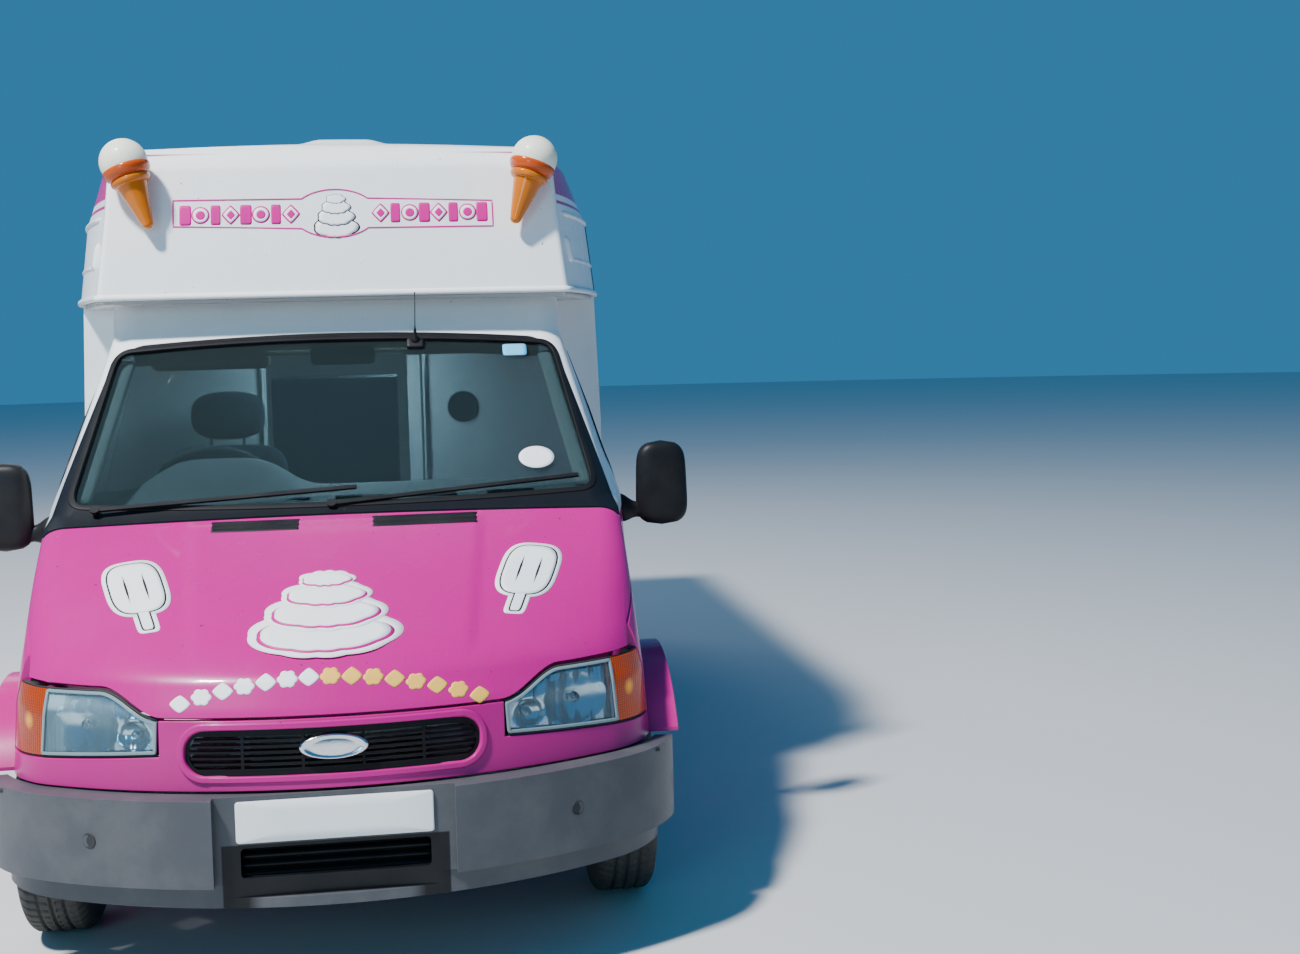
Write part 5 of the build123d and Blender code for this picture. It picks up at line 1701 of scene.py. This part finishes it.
@dataclass
class Wheel:
    """A road tyre with grooves and blocks, and wheel nuts on its rim.

    Args:
        name: Front or rear.
        side: The side of the van.
        y: The y of its axle.
        hub_z: Height of its axle, which is also the tyre's radius.
        track: The |x| of its middle.
        flank: The tyre's side, from the bead to the tread: radius, and distance from its middle.
        nut: Radius and distance from the wheel's middle of a nut's rings.
    """

    name: str
    side: Side
    y: float
    hub_z: float = 327.0
    track: float = 845.0
    flank: tuple = (
        (192, -80), (190.5, -84), (196, -89), (204, -92), (222, -95.5), (250, -97.4), (270, -96.8),
        (288, -94.5), (300, -92), (310, -87), (318, -80), (324, -71))
    nut: tuple = ((11.5, 60.0), (11.5, 70.0), (10.0, 75.0), (6.0, 78.0), (0.1, 79.0))

    def tread(self, a: Array, v: Array) -> Array:
        """Returns how deep the tread is cut at angle a and width v.

        Three grooves run round the tyre, and slanted cuts cross the shoulders, given by a sine
        of 60 a that is pushed along with v.
        """
        grooves = np.zeros(np.broadcast(a, v).shape)
        for at in (-36.0, 0.0, 36.0):
            grooves = np.maximum(grooves, 1 - step(np.abs(v - at), 5.0, 2.5))
        cuts = step(np.sin(60 * a + np.sign(v) * v * 0.05), 0.72, 0.25) * step(np.abs(v), 10, 4)
        return 7.5 * np.maximum(grooves, cuts * 0.85) * (1 - step(np.abs(v), 84, 10))

    def build(self) -> None:
        """Makes the tyre and the nuts."""
        corner = f"{self.name}_{self.side.word}"
        flank, crown = np.array(self.flank, float), np.arange(-66, 67, 3.0)
        v = np.concatenate([flank[:, 1], crown, -flank[::-1, 1]])
        r = np.concatenate([flank[:, 0], self.hub_z - 0.00042 * crown ** 2, flank[::-1, 0]])
        a = turns(480)[:, None]
        radius = r[None] - self.tread(a, v[None]) * (np.abs(v) < 88)[None]
        ridge = 0.9 * (np.abs(r - 236) < 8) + 0.7 * (np.abs(r - 262) < 5)
        x = self.track * self.side.value + (v + np.sign(v) * ridge * 0.4)[None] + 0 * a
        points = np.stack([x, self.y + radius * np.cos(a), self.hub_z + radius * np.sin(a)], -1)
        tyre = grid("tyre_tread_wheel_" + corner, points, close_rows=True, close_cols=True)
        fit(tidy_mesh(tyre), TYRE, "wheel_" + corner, ["tyre_" + corner])
        self.nuts("wheel_" + corner)

    def nuts(self, body: str) -> None:
        """Makes five hexagonal nuts with turned crowns as one mesh."""
        count, sides = 5, 6
        rings = np.array(self.nut)[None, :, None]
        a = turns(sides)
        at = (turns(count) + 0.3)[:, None, None]
        x = self.side.value * (self.track + rings[..., 1])
        x = np.broadcast_to(x, (count, len(self.nut), sides))
        y = self.y + 92 * np.cos(at) + rings[..., 0] * np.cos(a)
        z = self.hub_z + 92 * np.sin(at) + rings[..., 0] * np.sin(a)
        points = len(self.nut) * sides
        one = quads(len(self.nut), sides, close_cols=True)
        faces = np.concatenate([one + points * i for i in range(count)]).tolist()
        faces += [[points * i + c for c in range(sides)] for i in range(count)]
        nuts = tidy_mesh(mesh_of("wheel_nuts_" + body, place(np.stack([x, y, z], -1)), faces), 2e-4)
        nuts.data.set_sharp_from_angle(angle=math.radians(35))
        fit(nuts, BRIGHT_STEEL, body)


@dataclass
class Seat:
    """The driver's seat: cushion, back with side bolsters and a rounded head restraint.

    Args:
        x: Its middle.
        pads: Name, (dx, y, z) place, half sizes, lean and sharpness of each pad.
    """

    x: float = -445.0
    pads: tuple = (
        ("seat_cushion", (0, 1760, 985), (240, 235, 70), -0.08, 0.42),
        ("seat_back", (0, 1945, 1178), (224, 62, 218), 0.17, 0.42),
        ("seat_head", (6, 1985, 1506), (136, 50, 90), 0.14, 0.72),
    )

    def pad(self, name: str, centre: tuple, half: tuple, lean: float, sharp: float) -> None:
        """Makes one crowned pad, with two seams pressed in its front and back."""
        p = crowned(half, sharp, 72, 36)
        seam = 3.5 * np.exp(-((np.abs(p[..., 0]) - half[0] * 0.62) / 7) ** 2)
        p[..., 1] *= 1 - seam / half[1]
        p = leaned(p, lean) + centre + (self.x, 0, 0)
        piece = tidy_mesh(grid(name, p, close_cols=True))
        mod = piece.modifiers.new("round", "SUBSURF")
        mod.levels = mod.render_levels = 1
        fit(piece, SEAT)

    def build(self) -> None:
        """Makes the three pads, the stand and the head rest's posts."""
        for pad in self.pads:
            self.pad(*pad)
        loop = rounded_loop(200, 190, 30, 6)
        rows = [np.insert((self.x, 1770) + loop * k, 2, z, 1)
                for k, z in ((1.0, 592.0), (1.0, 600.0), (0.86, 640.0), (0.86, 900.0), (1.0, 925.0))]
        fit(soften(tube("seat_base", np.stack(rows)), 4), DARK_TRIM, replaces=["driver_seat"])
        for i, x in enumerate((self.x - 60, self.x + 60)):
            path = np.linspace((x, 1985, 1370), (x, 1990, 1470), 6)
            sweep(f"seat_post_{i}", path, (1, 0, 0), ring_profile(6, 14), BRIGHT_STEEL)


@dataclass
class Cabin:
    """What shows through the screen: dashboard, trims, headlining, visors, mirror and post.

    Args:
        dash: The dashboard's section: y, z, and each point's share of the hood's swell.
        slabs: Name, place, half sizes, lean, finish and corner of the visors and the mirror.
    """

    dash: tuple = (
        (1034, 902, 0), (1034, 1210, 0), (1120, 1240, 0.1), (1252, 1262, 0.75), (1330, 1266, 1.0),
        (1386, 1236, 0.85), (1388, 1130, 0.15), (1290, 960, 0), (1200, 902, 0))
    slabs: tuple = (
        ("sun_visor_right", (-450, 1585, 1722), (205, 11, 42), -0.5, HEADLINING, 24),
        ("sun_visor_left", (390, 1600, 1740), (185, 11, 26), -0.9, HEADLINING, 18),
        ("inside_mirror", (10, 1508, 1722), (112, 14, 32), -0.15, DARK_TRIM, 20),
    )

    def slab(
        self, name: str, centre: tuple, half: tuple, lean: float, finish: Finish, corner: float
    ) -> None:
        """Makes a soft-edged board: rounded loops that close over its front and back."""
        rim = ((0.0, 1.0), (0.6, 1.0), (0.93, 0.92), (0.985, 0.6), (1.0, 0.0))
        rim = [(k, -d) for k, d in rim] + [(k, d) for k, d in rim[-2::-1]]
        layers = [(k, d * half[1]) for k, d in rim]
        board(name, rounded_loop(half[0], half[2], corner, 6), layers, centre, finish, lean=lean)

    def pillar(self, side: Side) -> None:
        """Makes the pale trim inside a screen pillar."""
        z = np.linspace(1278, 1712, 26)
        path = (CAB.skin(822 - (z - 1278) * 0.176, z) + (-26, 64, 0)) * (side.value, 1, 1)
        sweep("pillar_trim_" + side.word, path, (0, -1, 0.35), box_profile(-14, 14, 30, 12, 4), TRIM)

    def dashboard(self) -> None:
        """Makes the dashboard: a moulded section with a hood that swells over the instruments.

        The section's upper points rise by h(x) = 104 exp(-((x + 400) / 235)^4) + 26, and each
        section's corners are cut three times at a quarter and three quarters of its sides.
        """
        x = np.concatenate([[-858], np.linspace(-850, 850, 90), [858]])
        hood = (104 * np.exp(-((x + 400) / 235) ** 4) + 26)[:, None]
        table = np.array(self.dash, float)
        y, z, share = table.T
        p = np.stack([y + share * np.clip(hood - 60, 0, 40) * 0.4, z + share * hood], -1)
        for _ in range(3):
            after = np.roll(p, -1, 1)
            p = np.stack([p * 0.75 + after * 0.25, p * 0.25 + after * 0.75], 2).reshape(len(x), -1, 2)
        middle = p.mean(1, keepdims=True)
        shrink = np.where(np.abs(x) > 855, 0.97, 1.0)
        p = middle + (p - middle) * shrink[:, None, None]
        points = np.concatenate([np.broadcast_to(x[:, None, None], p.shape[:2] + (1,)), p], -1)
        fit(tube("dash_moulding", points), DASH_PLASTIC, replaces=["dashboard"])

    def build(self) -> None:
        """Makes the cabin's pieces."""
        self.dashboard()
        for i, x in enumerate((-180.0, 60.0, 300.0, 560.0)):
            path = np.linspace((x - 78, 1150, 1254), (x + 78, 1150, 1254), 9)
            sweep(f"screen_vent_{i}", path, (0, -0.2, 1), box_profile(-4, 5, 13, 4), DARK_TRIM)
        column = ((44, -170), (46, -60), (52, -52), (50, 0), (40, 10), (1, 12))
        lathe("column_shroud", (-445, 1500, 1240), (0, 0.7071, 0.7071), column, DARK_TRIM, 32)
        for side in Side:
            self.pillar(side)
        x = np.linspace(-700, 700, 40)
        path = CAB.skin(x, 1766 - 30 * (x / 700) ** 2) + (0, 92, 0)
        sweep("header_trim", path, (0, -0.8, -0.6), box_profile(-10, 14, 40, 10, 4), HEADLINING)
        for slab in self.slabs:
            self.slab(*slab)
        disc = ((61, -3), (61, 6), (58, 9), (54, 7), (50, 5.5), (30, 6.5), (0.5, 7.5))
        lathe("partition_blank", (446, 2150, 1507), (0, -1, 0), disc, NAVY, 64)
        for name, x in (("right", -332.0), ("left", 306.0)):
            path = np.linspace((x, 2146, 700), (x, 2146, 1805), 12)
            sweep("opening_trim_" + name, path, (0, -1, 0), box_profile(-2, 5, 9, 3), BRIGHT_STEEL)
        path = np.linspace((258, 2260, 750), (258, 2260, 1922), 12)
        sweep("load_post", path, (0, -1, 0), box_profile(-78, 6, 26, 5), LINING)


@dataclass
class Fittings:
    """Door seals and handles, serving window's frame, aerial, bumper blanks and rear lamps.

    Args:
        door_window: The y and z of the door window's corners.
        serving_window: The same of the serving window.
        handle: The y and z of the handle's middle.
        aerial_base: Where the aerial stands.
    """

    door_window: tuple = ((1285, 1190), (2000, 1190), (2000, 1712), (1680, 1712), (1285, 1370))
    serving_window: tuple = ((2950, 1240), (4250, 1240), (4250, 1840), (2950, 1840))
    handle: tuple = (1965.0, 1085.0)
    aerial_base: tuple = (262.0, 1452.0, 1768.0)

    @staticmethod
    def window_loop(corners: Sequence[tuple], radius: float) -> tuple[Array, Array]:
        """Returns the (y, z) of a closed polygon with rounded corners and divided runs."""
        p = np.array(corners, float)
        out = []
        for before, here, after in zip(np.roll(p, 1, 0), p, np.roll(p, -1, 0)):
            a = here + (before - here) / np.linalg.norm(before - here) * radius
            b = here + (after - here) / np.linalg.norm(after - here) * radius
            t = np.linspace(0, 1, 8)[:, None]
            out.append((1 - t) ** 2 * a + 2 * t * (1 - t) * here + t ** 2 * b)
        rough = np.concatenate(out)
        return np.linspace(rough, np.roll(rough, -1, 0), 5, endpoint=False, axis=1).reshape(-1, 2).T

    def door(self, side: Side) -> None:
        """Makes a door's window seal, and its handle with the cup behind it."""
        word, body, out = side.word, "door_" + side.word, (side.value, 0, 0)
        path = CAB.flank(*self.window_loop(self.door_window, 38), side)
        sweep("door_seal_" + word, path, out, box_profile(-12, 2.5, 9, 2.0), RUBBER, True, body)
        y, z = self.handle
        t = np.linspace(0, 1, 16)
        path = CAB.flank(y - 60 + 120 * t, np.full(16, z), side)
        path[:, 0] += side.value * (26 * np.sin(np.pi * t) ** 0.5)
        bar = box_profile(-11, 11, 7, 5)
        sweep("door_handle_" + word, path, (0, 0, 1), bar, BLACK_PLASTIC, body=body)
        loop = rounded_loop(66, 24, 12, 6)
        rows = [CAB.flank(y + loop[:, 0] * k, z + loop[:, 1] * k, side) + np.array(out) * d
                for k, d in ((1.0, -4.0), (1.0, 1.5), (0.94, 2.5), (0.80, 0.6), (0.0, 0.4))]
        fit(tube("door_cup_" + word, np.stack(rows), 2e-5), DARK_TRIM, body)

    def window_frame(self) -> None:
        """Makes the serving window's frame, its two bars and the ledge under it."""
        y, z = self.window_loop(self.serving_window, 62)
        x = np.interp(z, [900, 1440, 1925], [988, 990, 975])
        path, section = np.stack([x, y, z], 1), box_profile(-14, 5, 16, 3)
        sweep("serving_frame", path, (1, 0, 0), section, BRIGHT_STEEL, True)
        for i, y in enumerate((3383.0, 3817.0)):
            path = np.linspace((972, y, 1238), (972, y, 1842), 9)
            sweep(f"serving_bar_{i}", path, (1, 0, 0), box_profile(-8, 8, 12, 3), BRIGHT_STEEL)
        path = np.linspace((984, 2940, 1206), (984, 4260, 1206), 9)
        sweep("serving_ledge", path, (1, 0, 0), box_profile(0, 104, 11, 8, 4), STAINLESS)

    def front(self) -> None:
        """Makes the whip aerial, its foot and the bumper's round blanks."""
        base = np.array(self.aerial_base)
        foot = leaned(crowned((30, 17, 21), 0.3, 40, 22), 0.66) + (base + (0, 2, -16))
        fit(tidy_mesh(grid("aerial_foot", foot, close_cols=True)), BLACK_PLASTIC)
        whip = ((17, -10), (17, 6), (13, 14), (7, 20), (4.5, 40), (2.6, 48), (1.6, 60), (1.4, 176),
                (2.4, 178), (2.4, 182))
        lathe("aerial_whip", base, (0.02, -0.42, 0.9), whip, BLACK_PLASTIC, 20)
        cap = ((21, -8), (21, 1.0), (19, 2.0), (17.5, 0.6), (12, 0.5), (0.5, 1.6))
        for name, x in (("right", -650.0), ("left", 657.0)):
            y = 190 - Bumper.bow(x) - 3.5
            axis = (math.copysign(0.5, x), -0.87, 0.0)
            lathe("bumper_blank_" + name, (x, y, 456.0), axis, cap, DARK_TRIM, 32)

    def rear(self) -> None:
        """Makes the rear marker lamps and the plate lamp."""
        dome = ((34, -3), (34, 8), (30, 15), (18, 19), (0.5, 20))
        for name, x in (("left", 760.0), ("right", -760.0)):
            lathe("rear_marker_" + name, (x, 5580.0, 1840.0), (0, 1, 0), dome, REAR_RED, 32)
        path = np.linspace((-60, 5586, 712), (60, 5586, 712), 9)
        sweep("plate_lamp", path, (0, 1, 0), box_profile(-6, 16, 11, 6), BLACK_PLASTIC)

    def build(self) -> None:
        """Makes every fitting."""
        for side in Side:
            self.door(side)
        self.window_frame()
        self.front()
        self.rear()


# ---------------------------------------------------------------- studio


@dataclass
class Studio:
    """The camera, floor, sky and lamps.

    Args:
        eye: The camera's place in metres.
        yaw: Its heading from the y axis towards the x axis, in degrees.
        pitch: Its tilt up.
        roll: Its turn about its heading.
        focal: Its focal length in pixels of the photograph.
        width: Width of the photograph in pixels.
        shift: How far the picture's middle lies over the lens's, in those pixels.
        sky: Colour of the sky.
        brightness: Strength of the sky.
        lamps: Name, place, aim, size, power and colour of each lamp.
    """

    eye: tuple = (0.2204, -7.183, 1.741)
    yaw: float = 8.416
    pitch: float = -3.125
    roll: float = -1.490
    focal: float = 1650.0
    width: float = 1300.0
    shift: float = -45.0
    sky: tuple = (0.08, 0.46, 0.95)
    brightness: float = 0.42
    lamps: tuple = (
        ("key", (-6.0, -6.6, 13.2), (0, 0, 1.2), 1.2, 4500.0, (1.0, 1.0, 1.0)),
        ("front", (-4.0, -11.0, 3.2), (0, -1.2, 2.0), 3.0, 150.0, (0.34, 0.84, 1.0)),
        ("back", (-4.0, 9.0, 8.0), (0, 0.5, 1.2), 6.0, 250.0, (1.0, 1.0, 1.0)),
        ("cab", (0.0, -1.02, 1.79), (0.0, -0.85, 0.9), 0.5, 24.0, (0.55, 0.86, 1.0)),
        ("load", (0.30, 0.6, 2.1), (0.1, 0.2, 1.0), 0.6, 45.0, (0.55, 0.86, 1.0)),
    )

    def camera(self) -> None:
        """Sets the camera at the photograph's viewpoint.

        Forward is (sin yaw cos pitch, cos yaw cos pitch, sin pitch), right is (cos yaw,
        -sin yaw, 0) and up is right x forward; roll turns right and up about forward.
        """
        yaw, pitch, roll = (math.radians(v) for v in (self.yaw, self.pitch, self.roll))
        level = math.cos(pitch)
        f = np.array([math.sin(yaw) * level, math.cos(yaw) * level, math.sin(pitch)])
        r = np.array([math.cos(yaw), -math.sin(yaw), 0.0])
        u = np.cross(r, f)
        right = r * math.cos(roll) + u * math.sin(roll)
        up = -r * math.sin(roll) + u * math.cos(roll)
        data = bpy.data.cameras.new("viewpoint")
        data.sensor_width, data.sensor_fit = 36.0, "HORIZONTAL"
        data.lens = self.focal * 36.0 / self.width
        data.shift_y = self.shift / self.width
        data.clip_end = 200.0
        camera = bpy.data.objects.new("viewpoint", data)
        bpy.context.scene.collection.objects.link(camera)
        rows = [[right[i], up[i], -f[i], self.eye[i]] for i in range(3)] + [[0, 0, 0, 1]]
        camera.matrix_world = Matrix(rows)
        bpy.context.scene.camera = camera

    def floor(self) -> None:
        """Makes the pale floor, a disc of 60 m radius."""
        a = turns(64)
        points = np.stack([60 * np.cos(a), 60 * np.sin(a), np.zeros(64)], 1)
        obj = mesh_of("studio_floor", points, [list(range(64))])
        shader = Shader("studio_floor")
        shader.feed(Base_Color=(0.62, 0.61, 0.60), Roughness=0.9)
        obj.data.materials.append(shader.material)

    def lights(self) -> None:
        """Adds the blue sky, the sun's hard key, weak lamps in front and behind, and two inside."""
        world = bpy.data.worlds.new("sky")
        world.use_nodes = True
        background = world.node_tree.nodes["Background"].inputs
        background[0].default_value, background[1].default_value = (*self.sky, 1), self.brightness
        bpy.context.scene.world = world
        for name, where, aim, size, power, colour in self.lamps:
            data = bpy.data.lights.new(name, "AREA")
            data.size, data.energy, data.color = size, power, colour
            light = bpy.data.objects.new(name, data)
            bpy.context.scene.collection.objects.link(light)
            light.location = where
            light.rotation_euler = (Vector(aim) - Vector(where)).to_track_quat("-Z", "Y").to_euler()
            light.visible_camera = False

    def build(self) -> None:
        """Makes the studio."""
        self.camera()
        self.floor()
        self.lights()


def main() -> None:
    """Builds every sub-assembly."""
    logging.basicConfig(level=logging.INFO, format="%(name)s %(message)s")
    Studio().build()
    for assembly in (
        Plain(), Bonnet(), Nose(), LampUnit(Side.LEFT), LampUnit(Side.RIGHT), Bumper(), Screen(),
        Cones(Side.LEFT), Cones(Side.RIGHT), Moulding(), Signs(), Mirror(Side.LEFT), Mirror(Side.RIGHT),
        *[Wheel(name, side, y) for name, y in (("front", 815.0), ("rear", 4385.0)) for side in Side],
        Seat(), Cabin(), Fittings(),
    ):
        assembly.build()
    bpy.context.view_layer.update()


if __name__ == "__main__":
    main()
